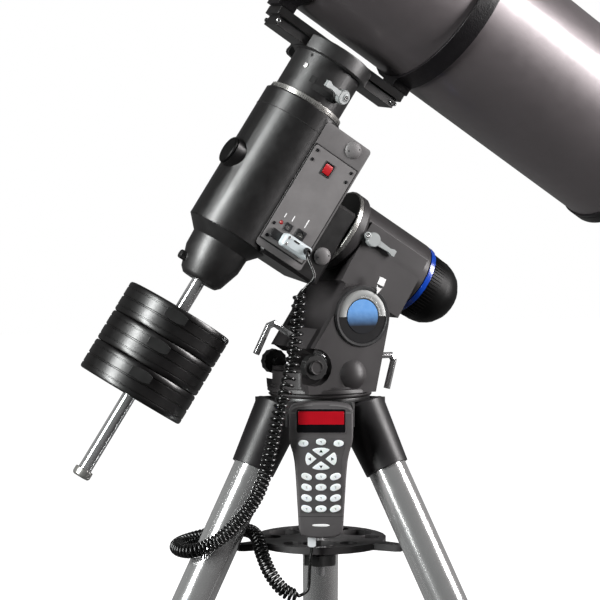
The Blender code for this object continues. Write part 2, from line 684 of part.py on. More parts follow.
def make_nose_and_shaft():
    at = HEAD_FRAME
    top = DEC_BOTTOM - GAP
    bore = SHAFT_R + 0.0005
    profile = [(bore, top), (DEC_R - 0.0005, top), (0.0400, -0.1020), (0.0392, -0.1225)]
    profile += [(0.0300, -0.1500), (0.0240, -0.1560), (bore, -0.1560)]
    nose = turned("shaft_nose", profile, BLACK, at, ra_axis, 24, closed=True)
    knob_at = at @ axes((-0.030, 0, -0.1385), (0, 0, 1), (0, 1, 0), (-1, 0, 0))
    add(nose, disc("nose_knob", 0.0060, 0.0120, 0.0, None, knob_at, ra_axis, 12, bevel=0.001,
                   cutter=True))
    slide = empty("shaft_slide", at @ shift(0, 0, SHAFT_END), ra_axis)
    disc("counterweight_shaft", SHAFT_R, -0.0900, SHAFT_END, CHROME, at, slide, 20)
    low = SHAFT_END - GAP
    stop = [(0, low), (0.0123, low), (0.0123, low - 0.0085), (0.0105, low - 0.011), (0, low - 0.011)]
    turned("shaft_stop", stop, SILVER, at, slide, 20)
    return slide


def make_weights(slide):
    at = HEAD_FRAME
    parent = slide
    for k in range(WEIGHT_COUNT):
        tag = "abc"[k]
        top = WEIGHT_TOP - k * (WEIGHT_T + GAP)
        low = top - WEIGHT_T
        mid = (top + low) / 2
        inner = SHAFT_R + 0.0004
        r = WEIGHT_R
        profile = [(inner, top), (r - 0.002, top), (r, top - 0.002), (r, mid + 0.0012)]
        profile += [(r - 0.0012, mid), (r, mid - 0.0012), (r, low + 0.002), (r - 0.002, low)]
        profile += [(inner, low)]
        ride = empty("weight_slide_" + tag, at @ shift(0, 0, mid), parent)
        weight = turned("counterweight_" + tag, profile, BLACK, at, ride, 28, closed=True)
        out = Vector((-0.366, -0.9306, 0)).normalized()
        side = Vector((0, 0, 1)).cross(out)
        knob_at = at @ axes(out * r + Vector((0, 0, mid + 0.0085)), side, (0, 0, 1), out)
        cut(weight, disc("knob_bore", 0.0052, 0.004, -0.022, None, knob_at, ride, 12, cutter=True))
        spin = empty("weight_knob_axis_" + tag, knob_at, ride)
        knob = disc("weight_knob_" + tag, 0.0046, 0.006, -0.0210, PLASTIC, knob_at, spin, 12)
        wing = [(0.0150, 0.0050), (0.0060, 0.0075), (-0.0060, 0.0075), (-0.0150, 0.0050)]
        wing += [(-0.0150, -0.0050), (-0.0060, -0.0075), (0.0060, -0.0075), (0.0150, -0.0050)]
        wing_at = knob_at @ shift(0, 0, 0.0085)
        add(knob, outline("weight_wing", [wing], 0.0130, None, wing_at, spin, cutter=True))
        parent = ride


# ------------------------------------------------------------------ saddle and tube
def make_saddle():
    at = HEAD_FRAME
    low = DEC_TOP + GAP
    ring("dec_circle", 0.0516, 0.0250, DEC_RING_TOP, low, SILVER, at, ra_axis, 28)
    start = DEC_RING_TOP + GAP
    profile = [(0, FLANGE_TOP), (FLANGE_R - 0.001, FLANGE_TOP), (FLANGE_R, FLANGE_TOP - 0.002)]
    profile += [(FLANGE_R, NECK_TOP + 0.002), (FLANGE_R - 0.002, NECK_TOP), (NECK_R, NECK_TOP)]
    profile += [(NECK_R, start), (0, start)]
    saddle = turned("saddle", profile, BLACK, at, dec_axis, 28)
    slot = box("channel", (-0.07, -0.0220, 0.1715), (0.07, 0.0220, 0.21), None, at, dec_axis,
               cutter=True)
    cut(saddle, slot)
    angle = math.radians(20)
    out = Vector((math.sin(angle), -math.cos(angle), 0))
    pad_at = at @ axes(out * (NECK_R - 0.003) + Vector((0, 0, 0.1395)),
                       Vector((-math.cos(angle), -math.sin(angle), 0)), (0, 0, -1), out)
    add(saddle, disc("lever_pad", 0.0095, 0.0060, -0.003, None, pad_at, dec_axis, 16, cutter=True))
    lever("dec_lever", pad_at @ shift(0, 0, 0.0060), 0.0370, dec_axis)
    knob_at = at @ axes((-0.0240, 0.0492, 0.1790), (1, 0, 0), (0, 0, -1), (0, 1, 0))
    cut(saddle, disc("clamp_bore", 0.0035, 0.03, -0.040, None, knob_at, dec_axis, 12, cutter=True))
    spin = empty("saddle_knob_axis", knob_at, dec_axis)
    knob = disc("saddle_knob", 0.0031, 0.006, -0.0245, PLASTIC, knob_at, spin, 12)
    head = outline("saddle_knob_head", [lobed(0.0180, 0.004, 5, 30)], 0.010, None,
                   knob_at @ shift(0, 0, 0.0105), spin, cutter=True)
    add(knob, head)
    e = PLATE_HALF_LENGTH
    bar = box("dovetail_plate", (-e, -0.0216, 0.1850), (e, 0.0216, PLATE_TOP), BLACK, at, dec_axis)
    section = [(-0.0214, 0.1719), (0.0214, 0.1719), (0.0175, 0.1860), (-0.0175, 0.1860)]
    under_at = at @ axes((0, 0, 0), (0, 1, 0), (0, 0, 1), (1, 0, 0))
    under = outline("dovetail", [section], 2 * e - 0.012, None, under_at, dec_axis, cutter=True)
    add(bar, under)


def make_tube():
    at = HEAD_FRAME @ shift(0, 0, TUBE_AXIS) @ axes((0, 0, 0), (0, 0, -1), (0, 1, 0), (1, 0, 0))
    r, inner = TUBE_R, TUBE_R - TUBE_WALL
    lip = r + 0.0025
    profile = [(inner, TUBE_REAR), (r, TUBE_REAR), (r, TUBE_FRONT + 0.016)]
    profile += [(lip, TUBE_FRONT + 0.016), (lip, TUBE_FRONT), (inner, TUBE_FRONT)]
    tube = turned("optical_tube", profile, TUBE_PAINT, at, dec_axis, TUBE_STEPS, closed=True)
    port_at = HEAD_FRAME @ shift(TUBE_FRONT + 0.130, 0, TUBE_AXIS)
    cut(tube, disc("tube_port", 0.0290, 0.150, 0.05, None, port_at, dec_axis, 24, cutter=True))
    rear = TUBE_REAR + GAP
    profile = [(0, rear + 0.024), (r - 0.005, rear + 0.024), (lip, rear + 0.018), (lip, rear)]
    profile += [(inner - 0.002, rear), (inner - 0.002, rear - 0.004)]
    profile += [(inner - 0.011, rear - 0.010), (inner - 0.011, rear - 0.034), (0, rear - 0.034)]
    turned("mirror_cell", profile, BLACK, at, dec_axis, TUBE_STEPS)
    hub_at = at @ shift(0, 0, TUBE_FRONT + 0.130)
    spider = disc("secondary_holder", 0.0240, 0.030, -0.075, BLACK, hub_at, dec_axis, 20)
    span = inner - 0.0007
    for low, high in (((-span, -0.0006, -0.070), (span, 0.0006, -0.045)),
                      ((-0.0006, -span, -0.070), (0.0006, span, -0.045))):
        add(spider, box("vane", low, high, None, hub_at @ turn(45, "Z"), dec_axis, cutter=True))
    facet = hub_at @ shift(0, 0, 0.018) @ turn(-45, "Y")
    cut(spider, box("facet", (-0.06, -0.04, 0.0), (0.06, 0.04, 0.06), None, facet, dec_axis,
                    cutter=True))
    for tag, s in zip(("front", "rear"), RING_AT):
        bore = r + 0.0004
        ring_at = at @ shift(0, 0, s)
        w = RING_W / 2
        outer = r + RING_WALL
        clamp = ring("tube_ring_" + tag, outer, bore, w, -w, BLACK, ring_at, dec_axis, TUBE_STEPS)
        foot = box("ring_foot", (s - w, -0.0200, PLATE_TOP + GAP),
                   (s + w, 0.0200, TUBE_AXIS - outer + 0.0025), None,
                   HEAD_FRAME, dec_axis, cutter=True)
        top = TUBE_AXIS + outer - 0.0005
        lug = box("ring_lug", (s - w * 0.8, -0.0110, top - 0.002), (s + w * 0.8, 0.0110, top + 0.016),
                  None, HEAD_FRAME, dec_axis, cutter=True)
        add(clamp, foot, lug)
        shave = disc("ring_shave", bore, w + 0.01, -w - 0.01, None, ring_at, dec_axis, TUBE_STEPS,
                     cutter=True)
        cut(clamp, shave)


def make_focuser():
    s = TUBE_FRONT + 0.130
    top = TUBE_AXIS + TUBE_R
    at = HEAD_FRAME @ shift(s, 0, 0)
    body = box("focuser_body", (-0.040, -0.040, top - 0.014), (0.040, 0.040, top + 0.010), BLACK,
               at, dec_axis)
    add(body, disc("focuser_drum", 0.0330, top + 0.050, top, None, at, dec_axis, 18, cutter=True))
    add(body, box("pinion_box", (-0.0200, -0.0570, top + 0.016), (0.0200, -0.0200, top + 0.036),
                  None, at, dec_axis, cutter=True))
    hollow = HEAD_FRAME @ shift(0, 0, TUBE_AXIS)
    hollow = hollow @ axes((0, 0, 0), (0, 0, -1), (0, 1, 0), (1, 0, 0))
    shell = disc("tube_clear", TUBE_R + GAP, 0.0, -0.6, None, hollow, dec_axis, TUBE_STEPS,
                 cutter=True)
    bore = disc("draw_bore", 0.0272, top + 0.08, top - 0.08, None, at, dec_axis, 18, cutter=True)
    pin_at = at @ shift(0, -0.0500, top + 0.0265) @ turn(90, "Y")
    pin = disc("pinion_bore", 0.0036, 0.06, -0.06, None, pin_at, dec_axis, 12, cutter=True)
    cut(body, shell, bore, pin)
    draw = empty("drawtube_slide", at @ shift(0, 0, top), dec_axis)
    profile = [(0, top + 0.105), (0.0140, top + 0.105), (0.0165, top + 0.103), (0.0165, top + 0.080)]
    profile += [(0.0190, top + 0.078), (0.0190, top + 0.064), (0.0285, top + 0.062)]
    profile += [(0.0285, top + 0.052), (0.0262, top + 0.051), (0.0262, top + 0.002)]
    profile += [(0.0235, top + 0.002), (0.0235, top + 0.040), (0, top + 0.040)]
    turned("focuser_drawtube", profile, SILVER, at, draw, 18)
    spin = empty("focus_knob_axis", pin_at, dec_axis)
    knob = disc("focus_knob", 0.0032, 0.0400, -0.0400, PLASTIC, pin_at, spin, 12)
    for side in (-1, 1):
        low, high = sorted((side * 0.0215, side * 0.0400))
        add(knob, disc("focus_grip", 0.0150, high, low, None, pin_at, spin, 16, bevel=0.0015,
                       cutter=True))


# ------------------------------------------------------------------ hand controller
def hand_frame():
    a = math.radians(HAND_ANGLE)
    out = Vector((math.cos(a), math.sin(a), 0))
    right = UP.cross(out)
    return axes(out * HAND_FRONT + UP * HAND_TOP, right, UP, out)


def make_hand_controller():
    at = hand_frame()
    lift = empty("hand_controller_slide", at, root)
    half = [(0.0, 0.0), (0.0300, -0.0015), (0.0375, -0.0050), (0.0408, -0.0120), (0.0408, -0.0430)]
    half += [(0.0385, -0.0560), (0.0340, -0.0750), (0.0318, -0.1000), (0.0292, -0.1450)]
    half += [(0.0280, -0.1620), (0.0235, -0.1700), (0.0, -0.1735)]
    loop = half + [(-x, y) for x, y in reversed(half[1:-1])]
    middle = at @ shift(0, 0, -HAND_T / 2)
    case = outline("hand_controller", [loop], HAND_T, GREY, middle, lift)
    sheet = [(0.0312, -0.0440), (0.0312, -0.0570), (0.0268, -0.0700), (0.0268, -0.1420)]
    sheet = sheet + [(-x, y) for x, y in reversed(sheet)]
    pocket = outline("key_pocket", [sheet], 0.0080, None, at @ shift(0, 0, 0), lift, cutter=True)
    jack = box("jack_pocket", (-0.0155, -0.180, -0.0165), (-0.0065, -0.1660, -0.0080), None, at,
               lift, cutter=True)
    cut(case, pocket)
    press = empty("keypad_slide", at @ shift(0, 0, -0.0010), lift)
    trim = 0.0004
    inner = [(x - math.copysign(trim, x), y + (trim if y < -0.1 else -trim)) for x, y in sheet]
    pad_at = at @ shift(0, 0, -0.0018)
    pad = outline("keypad", [inner], 0.0024, GREY, pad_at, press)
    keys = [(-0.0223, -0.0517, 0.0072, 0.0046, 0.0), (0.0, -0.0498, 0.0072, 0.0046, 0.0)]
    keys += [(0.0223, -0.0517, 0.0072, 0.0046, 0.0), (0.0, -0.0625, 0.0108, 0.0050, 0.0)]
    keys += [(-0.0132, -0.0714, 0.0068, 0.0080, 0.0), (0.0132, -0.0714, 0.0068, 0.0080, 0.0)]
    keys += [(0.0, -0.0803, 0.0108, 0.0050, 0.0)]
    for row in range(4):
        y = -0.0940 - 0.01365 * row
        for column in (-1, 0, 1):
            keys.append((column * 0.0183, y, 0.0076, 0.0046, column * 0.3))
    loops = [ellipse(x, y, hx, hy, tilt) for x, y, hx, hy, tilt in keys]
    add(pad, outline("keys", loops, 0.0032, None, at @ shift(0, 0, 0.0002), press, cutter=True))
    plug_at = at @ shift(-0.0115, -0.1735, -0.0125)
    profile = [(-0.0052, 0.0), (0.0052, 0.0), (0.0052, -0.0110), (0.0022, -0.0125)]
    profile += [(-0.0022, -0.0125), (-0.0052, -0.0110)]
    outline("hand_plug", [profile], 0.0070, WHITE, plug_at, lift)


def make_holder():
    a = math.radians(HAND_ANGLE)
    out = Vector((math.cos(a), math.sin(a), 0))
    at = axes((0, 0, 0), out, UP.cross(out), UP)
    back = HAND_FRONT - HAND_T - GAP
    top = BASE_BOTTOM - GAP
    holder = box("controller_holder", (0.0715, -0.0150, -0.1150), (0.0745, 0.0150, top - 0.0015),
                 BLACK, at, root)
    add(holder, box("holder_tab", (0.0663, -0.0150, top - 0.0060), (0.0720, 0.0150, top - 0.0015),
                    None, at, root, cutter=True))
    for z in (-0.0450, -0.1000):
        add(holder, box("holder_lug", (0.0740, -0.0120, z), (back, 0.0120, z + 0.010), None, at,
                        root, cutter=True))


# ------------------------------------------------------------------ curly cord
def make_cord():
    lead_top = [(-0.0602, -0.0725, 0.1832), (-0.0592, -0.0800, 0.1760), (-0.0568, -0.0850, 0.1660)]
    lead_top += [(-0.0535, -0.0890, 0.1540), (-0.0550, -0.0890, 0.1460), (-0.0600, -0.0870, 0.1420)]
    coil = [(-0.0665, -0.0838, 0.1335), (-0.0708, -0.0815, 0.1212), (-0.0734, -0.0808, 0.0958)]
    coil += [(-0.0775, -0.0825, 0.0655), (-0.0855, -0.0860, 0.0330), (-0.0960, -0.0915, 0.0060)]
    coil += [(-0.1035, -0.0930, -0.0140), (-0.1100, -0.0910, -0.0420), (-0.1150, -0.0880, -0.0700)]
    coil += [(-0.1200, -0.0820, -0.0990), (-0.1270, -0.0755, -0.1235), (-0.1370, -0.0680, -0.1442)]
    coil += [(-0.1490, -0.0605, -0.1609), (-0.1635, -0.0520, -0.1775), (-0.1800, -0.0415, -0.1900)]
    coil += [(-0.1945, -0.0285, -0.1975), (-0.2020, -0.0080, -0.1995), (-0.2005, 0.0130, -0.1985)]
    coil += [(-0.1870, 0.0285, -0.1965), (-0.1640, 0.0370, -0.1935), (-0.1390, 0.0345, -0.1890)]
    coil += [(-0.1160, 0.0225, -0.1840), (-0.1030, 0.0020, -0.1835), (-0.1020, -0.0200, -0.1885)]
    coil += [(-0.1040, -0.0390, -0.2050), (-0.1015, -0.0520, -0.2240), (-0.0955, -0.0620, -0.2390)]
    coil += [(-0.0862, -0.0712, -0.2511), (-0.0748, -0.0768, -0.2570), (-0.0675, -0.0795, -0.2562)]
    lead_low = [(-0.0600, -0.0825, -0.2530), (-0.0580, -0.0830, -0.2440)]
    lead_low += [(-0.0570, -0.0832, -0.2250), (-0.0562, -0.0835, -0.2080), (0, 0, 0)]
    plug_foot = hand_frame() @ Vector((-0.0115, -0.1735 - 0.0125 - GAP, -0.0125))
    lead_low[-1] = tuple(plug_foot - UP * 0.006)
    plug_face = HEAD_FRAME @ Vector((0.0780, -BOX_HALF - 0.0015 - 2 * GAP - 0.0170 - GAP, -0.0545))
    lead_top[0] = tuple(plug_face + HEAD_FRAME.to_3x3() @ Vector((0, -0.005, 0)))
    body = smooth_route(coil, 0.030)
    first = (body[0] - body[1]).normalized()
    last = (body[-1] - body[-2]).normalized()
    upper = [plug_face] + smooth_route(lead_top, 0.008)
    upper += [body[0] + first * 0.004, body[0] + first * GAP]
    lower = smooth_route(lead_low, 0.012)
    lower = [body[-1] + last * GAP, body[-1] + last * 0.004] + lower + [plug_foot]
    wire("cord_lead_top", upper, LEAD_R, PLASTIC, root, 2)
    wire("cord_coil", body, COIL_R, PLASTIC, root, 2)
    wire("cord_lead_low", lower, LEAD_R, PLASTIC, root, 2)


# ------------------------------------------------------------------ assembly
make_legs(make_head())
make_tray()
make_mount_base()
make_azimuth_knobs()
make_latitude_bolts()
make_ra_body()
make_ra_parts()
make_dec_housing()
make_panel()
make_weights(make_nose_and_shaft())
make_saddle()
make_tube()
make_focuser()
make_hand_controller()
make_holder()
make_cord()


def stand_on_origin():
    """Moves the whole object so that the bottom centre of its box, without cord, is the origin."""
    bpy.context.view_layer.update()
    graph = bpy.context.evaluated_depsgraph_get()
    low, high = Vector((9, 9, 9)), Vector((-9, -9, -9))
    for obj in PARTS.objects:
        if obj.type == "EMPTY" or obj.name.startswith(("cord_", "hand_plug")):
            continue
        solid = obj.evaluated_get(graph)
        mesh = solid.to_mesh()
        for v in mesh.vertices:
            p = solid.matrix_world @ v.co
            low = Vector(map(min, low, p))
            high = Vector(map(max, high, p))
        solid.to_mesh_clear()
    root.location = (-(low.x + high.x) / 2, -(low.y + high.y) / 2, -low.z)


stand_on_origin()
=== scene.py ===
"""Finished look of the telescope on its tripod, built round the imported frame. Metres, +Z up."""
import json
import math

import bmesh
import bpy
from mathutils import Matrix, Vector


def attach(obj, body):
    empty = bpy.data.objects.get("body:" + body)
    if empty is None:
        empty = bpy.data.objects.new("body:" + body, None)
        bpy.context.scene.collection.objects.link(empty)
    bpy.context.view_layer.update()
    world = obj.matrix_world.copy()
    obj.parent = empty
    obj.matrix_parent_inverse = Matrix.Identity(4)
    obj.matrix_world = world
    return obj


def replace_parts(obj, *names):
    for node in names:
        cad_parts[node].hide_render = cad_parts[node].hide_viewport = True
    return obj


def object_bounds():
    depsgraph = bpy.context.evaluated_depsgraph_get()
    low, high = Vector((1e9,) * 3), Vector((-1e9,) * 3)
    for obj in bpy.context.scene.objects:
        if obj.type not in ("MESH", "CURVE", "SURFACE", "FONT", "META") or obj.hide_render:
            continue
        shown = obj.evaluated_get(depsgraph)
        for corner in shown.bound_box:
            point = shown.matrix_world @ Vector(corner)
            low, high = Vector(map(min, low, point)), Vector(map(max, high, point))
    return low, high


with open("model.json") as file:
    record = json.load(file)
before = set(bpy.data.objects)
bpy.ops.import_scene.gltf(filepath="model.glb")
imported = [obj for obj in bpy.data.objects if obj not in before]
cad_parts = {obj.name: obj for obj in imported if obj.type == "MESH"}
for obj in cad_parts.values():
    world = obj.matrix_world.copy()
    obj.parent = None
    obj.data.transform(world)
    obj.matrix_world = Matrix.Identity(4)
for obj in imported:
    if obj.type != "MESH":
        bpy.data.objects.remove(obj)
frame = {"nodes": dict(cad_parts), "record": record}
CAD_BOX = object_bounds()

# ------------------------------------------------------------------ the frame's own places
UP = Vector((0, 0, 1))
EAST = Vector((0, 1, 0))
JOINT = {j["name"]: j for j in frame["record"]["behaviour"]["joints"]}
BODY_OF = {n: b for b, nodes in frame["record"]["behaviour"]["bodies"].items() for n in nodes}
MOUNT = Vector(JOINT["azimuth_turn"]["pos_m"])
CROSS = Vector(JOINT["ra_turn"]["pos_m"])
SOUTH = -Vector(JOINT["ra_turn"]["axis"]).normalized()
OVER = SOUTH.cross(EAST).normalized()
DEC_UP = Vector(JOINT["dec_turn"]["axis"]).normalized()
FAR_SIDE = DEC_UP.cross(SOUTH).normalized()


def axes(origin, x, y, z):
    out = Matrix.Identity(4)
    for i, v in enumerate((x, y, z)):
        out.col[i][:3] = Vector(v).normalized()
    out.col[3][:3] = origin
    return out


def shift(x=0.0, y=0.0, z=0.0):
    return Matrix.Translation((x, y, z))


def turn(degrees, axis):
    return Matrix.Rotation(math.radians(degrees), 4, axis)


BASE = shift(*MOUNT)
HEAD = axes(CROSS, SOUTH, FAR_SIDE, DEC_UP)
POLAR = axes(CROSS, SOUTH, EAST, OVER)
NEAR_FACE = axes((0, 0, 0), (1, 0, 0), (0, 0, 1), (0, -1, 0))

# ------------------------------------------------------------------ camera
LENS_MM = 109.38
CAMERA_FROM_MOUNT = Vector((-1.09157, -2.14963, 0.22524))
CAMERA_LOOKS = Vector((0.44243, 0.89567, -0.04505))


def make_camera():
    data = bpy.data.cameras.new("camera")
    data.lens = LENS_MM
    data.sensor_width = 36.0
    data.clip_start = 0.05
    data.clip_end = 60.0
    camera = bpy.data.objects.new("camera", data)
    bpy.context.scene.collection.objects.link(camera)
    camera.location = MOUNT + CAMERA_FROM_MOUNT
    camera.rotation_mode = "QUATERNION"
    camera.rotation_quaternion = CAMERA_LOOKS.to_track_quat("-Z", "Y")
    bpy.context.scene.camera = camera


# ------------------------------------------------------------------ materials
class Nodes:
    """A material's node tree, with short ways to add and join nodes. Coordinates are metres."""

    def __init__(self, name):
        self.material = bpy.data.materials.new(name)
        self.material.use_nodes = True
        self.tree = self.material.node_tree
        self.shader = self.tree.nodes["Principled BSDF"]
        self.where = self.tree.nodes.new("ShaderNodeTexCoord").outputs["Object"]

    def add(self, kind, **values):
        node = self.tree.nodes.new("ShaderNode" + kind)
        for key, value in values.items():
            if hasattr(node, key) and key not in node.inputs:
                setattr(node, key, value)
            else:
                node.inputs[key].default_value = value
        return node

    def join(self, out, into):
        self.tree.links.new(out, into)

    def noise(self, per_metre, detail=3.0, rough=0.55):
        node = self.add("TexNoise", Scale=per_metre, Detail=detail, Roughness=rough)
        self.join(self.where, node.inputs["Vector"])
        return node.outputs["Fac"]

    def span(self, value, low, high, start=0.3, end=0.7):
        node = self.add("MapRange")
        node.inputs["From Min"].default_value = start
        node.inputs["From Max"].default_value = end
        node.inputs["To Min"].default_value = low
        node.inputs["To Max"].default_value = high
        self.join(value, node.inputs["Value"])
        return node.outputs["Result"]

    def mix(self, factor, a, b):
        node = self.add("Mix", data_type="RGBA")
        self.join(factor, node.inputs["Factor"])
        colours = [s for s in node.inputs if s.type == "RGBA"]
        for value, socket in zip((a, b), colours):
            if hasattr(value, "is_output"):
                self.join(value, socket)
            else:
                socket.default_value = (*value, 1.0)
        return [s for s in node.outputs if s.type == "RGBA"][0]

    def bump(self, height, distance, strength=1.0, under=None):
        node = self.add("Bump", Strength=strength, Distance=distance)
        self.join(height, node.inputs["Height"])
        if under:
            self.join(under, node.inputs["Normal"])
        return node.outputs["Normal"]

    def finish(self, colour, rough, normal=None, **constants):
        inputs = self.shader.inputs
        if hasattr(colour, "is_output"):
            self.join(colour, inputs["Base Color"])
        else:
            inputs["Base Color"].default_value = (*colour, 1.0)
        if hasattr(rough, "is_output"):
            self.join(rough, inputs["Roughness"])
        else:
            inputs["Roughness"].default_value = rough
        if normal:
            self.join(normal, inputs["Normal"])
        for name, value in constants.items():
            inputs[name.replace("_", " ")].default_value = value
        return self.material


def paint(name, colour, rough, orange_peel=0.00002, peel_scale=900.0, tone=0.18, **constants):
    """Sprayed paint: faint tone changes, handling smudges in the gloss, and an orange-peel bump."""
    n = Nodes(name)
    light = [min(1.0, c * (1 + tone) + 0.001) for c in colour]
    dark = [c * (1 - tone) for c in colour]
    tint = n.mix(n.span(n.noise(14.0, 5.0), 0.0, 1.0), dark, light)
    gloss = n.span(n.noise(55.0, 6.0, 0.65), rough * 0.88, rough * 1.14)
    peel = n.bump(n.noise(peel_scale, 2.0), orange_peel, 0.5)
    return n.finish(tint, gloss, peel, **constants)


def hammered(name, colour, rough):
    """Crinkle-finish paint: small rounded lumps that catch the light on one side."""
    n = Nodes(name)
    cells = n.add("TexVoronoi", feature="SMOOTH_F1", Scale=520.0, Smoothness=0.8)
    n.join(n.where, cells.inputs["Vector"])
    lumps = n.bump(cells.outputs["Distance"], 0.00045, 0.55)
    fine = n.bump(n.noise(2600.0, 3.0), 0.00008, 0.5, lumps)
    tint = n.mix(n.span(n.noise(30.0, 4.0), 0.0, 1.0), [c * 0.8 for c in colour],
                 [c * 1.3 + 0.001 for c in colour])
    return n.finish(tint, n.span(n.noise(90.0), rough * 0.9, rough * 1.15), fine)


def plastic(name, colour, rough, grain=0.00004, grain_scale=2200.0, **constants):
    """Moulded plastic with a fine spark-eroded grain."""
    n = Nodes(name)
    tint = n.mix(n.span(n.noise(40.0, 4.0), 0.0, 1.0), [c * 0.9 for c in colour],
                 [min(1.0, c * 1.1 + 0.002) for c in colour])
    grains = n.bump(n.noise(grain_scale, 3.0, 0.7), grain, 0.6)
    gloss = n.span(n.noise(70.0, 5.0), rough * 0.9, rough * 1.12)
    return n.finish(tint, gloss, grains, **constants)


def metal(name, colour, rough, smudge=0.35):
    """Bare or plated metal, with handling marks in its gloss."""
    n = Nodes(name)
    tint = n.mix(n.span(n.noise(25.0, 4.0), 0.0, 1.0), [c * 0.93 for c in colour], colour)
    gloss = n.span(n.noise(60.0, 6.0, 0.7), rough * (1 - smudge), rough * (1 + smudge))
    normal = n.bump(n.noise(1400.0, 2.0), 0.000004, 0.2)
    return n.finish(tint, gloss, normal, Metallic=0.82)


def dial_blue(name, centre, radius):
    """Dial face: sky blue at the top, darker down to black at the foot, lighter blue patches near the top."""
    n = Nodes(name)
    split = n.add("SeparateXYZ")
    n.join(n.where, split.inputs["Vector"])
    height = n.span(split.outputs["Z"], 0.0, 1.0, centre.z - radius * 0.55, centre.z + radius * 0.35)
    face = n.mix(height, (0.006, 0.007, 0.010), (0.13, 0.34, 0.74))
    mottled = n.mix(n.span(n.noise(160.0, 3.0), 0.0, 0.35), face, (0.24, 0.48, 0.84))
    shown = n.mix(height, face, mottled)
    return n.finish(shown, n.span(n.noise(90.0), 0.50, 0.62), Specular_IOR_Level=0.2)


def lit_display(name, colour):
    """Dark red filter window with the faint dot rows of the module behind it."""
    n = Nodes(name)
    dots = n.add("TexVoronoi", feature="F1", Scale=900.0, Randomness=0.0)
    n.join(n.where, dots.inputs["Vector"])
    grid = n.span(dots.outputs["Distance"], 0.0, 1.0, 0.25, 0.45)
    tint = n.mix(grid, [c * 0.82 for c in colour], colour)
    shade = n.mix(n.span(n.noise(35.0, 2.0), 0.0, 0.5), tint, [c * 0.6 for c in colour])
    n.join(shade, n.shader.inputs["Emission Color"])
    return n.finish(shade, n.span(n.noise(80.0), 0.12, 0.18), Emission_Strength=0.25,
                    Coat_Weight=0.5)


MATERIAL = {
    "casting": paint("casting_black", (0.0065, 0.0060, 0.0062), 0.36, 0.00003, 1100.0,
                     Specular_IOR_Level=0.9),
    "fork": paint("fork_grey", (0.034, 0.031, 0.032), 0.44, 0.00003, 1100.0, Specular_IOR_Level=0.5),
    "neck": paint("neck_black", (0.0070, 0.0065, 0.0067), 0.42, 0.00002, 1300.0,
                  Specular_IOR_Level=1.0),
    "box": plastic("box_grey", (0.150, 0.144, 0.145), 0.50, 0.00005, 1800.0),
    "panel": plastic("panel_grey", (0.180, 0.173, 0.174), 0.50, 0.00004, 2600.0),
    "hammered": hammered("hammered_black", (0.007, 0.006, 0.007), 0.36),
    "iron": paint("weight_black", (0.0030, 0.0026, 0.0027), 0.34, 0.00006, 700.0,
                  Specular_IOR_Level=0.9),
    "tube": paint("tube_gunmetal", (0.185, 0.166, 0.172), 0.40, 0.00001, 500.0, 0.06,
                  Metallic=0.5, Coat_Weight=0.35, Coat_Roughness=0.12),
    "chrome": metal("chrome", (0.86, 0.86, 0.87), 0.10),
    "steel": metal("leg_steel", (0.92, 0.92, 0.92), 0.17, smudge=0.12),
    "silver": metal("satin_silver", (0.66, 0.65, 0.62), 0.28, smudge=0.2),
    "lever": paint("cast_lever", (0.34, 0.36, 0.36), 0.44, Metallic=0.35),
    "screw": metal("screw_zinc", (0.70, 0.70, 0.70), 0.24),
    "dark_screw": metal("screw_black", (0.035, 0.035, 0.038), 0.34),
    "blue": plastic("ring_blue", (0.006, 0.060, 0.46), 0.22, 0.00001, Coat_Weight=0.6),
    "plastic": plastic("black_plastic", (0.018, 0.018, 0.019), 0.38, 0.00003),
    "knob": plastic("knob_black", (0.008, 0.008, 0.008), 0.44, 0.00006, 1500.0),
    "cap": plastic("cap_black", (0.004, 0.004, 0.004), 0.42, 0.00002, Specular_IOR_Level=0.16),
    "socket_black": plastic("socket_black", (0.014, 0.013, 0.014), 0.40, 0.00007, 1300.0),
    "tray": plastic("tray_grey", (0.034, 0.032, 0.033), 0.46, 0.00008, 1200.0),
    "case": plastic("case_charcoal", (0.080, 0.075, 0.077), 0.50, 0.00006, 2400.0),
    "pad": plastic("keypad_charcoal", (0.062, 0.058, 0.060), 0.60, 0.00005, 2600.0),
    "key": plastic("key_white", (0.94, 0.94, 0.93), 0.42, 0.00002, Subsurface_Weight=0.1),
    "print": plastic("print_black", (0.006, 0.006, 0.007), 0.60, 0.00001, Specular_IOR_Level=0.2),
    "white": plastic("print_white", (0.94, 0.94, 0.93), 0.50, 0.00001),
    "hood": plastic("hood_pale", (0.62, 0.68, 0.70), 0.34, 0.00003, Coat_Weight=0.3),
    "clear": plastic("plug_clear", (0.74, 0.76, 0.78), 0.18, 0.00001, Coat_Weight=0.5),
    "cord": plastic("cord_black", (0.005, 0.005, 0.005), 0.26, 0.00002, 1600.0,
                    Coat_Weight=0.35, Coat_Roughness=0.2),
    "red": plastic("rocker_red", (0.50, 0.016, 0.022), 0.30, 0.00001, Coat_Weight=0.5),
    "led": plastic("led_red", (0.34, 0.012, 0.014), 0.16, 0.00001, Coat_Weight=0.7),
    "rim": plastic("dial_rim", (0.030, 0.030, 0.031), 0.36, 0.00003),
    "scale": paint("dial_scale", (0.30, 0.31, 0.305), 0.46, tone=0.10, Metallic=0.3),
    "glass": plastic("window_black", (0.004, 0.004, 0.005), 0.08, 0.0, Coat_Weight=0.6),
    "display": lit_display("display_red", (0.42, 0.006, 0.014)),
    "mirror": metal("mirror", (0.93, 0.93, 0.93), 0.03),
    "inside": plastic("inside_black", (0.010, 0.010, 0.010), 0.75, 0.00006),
}


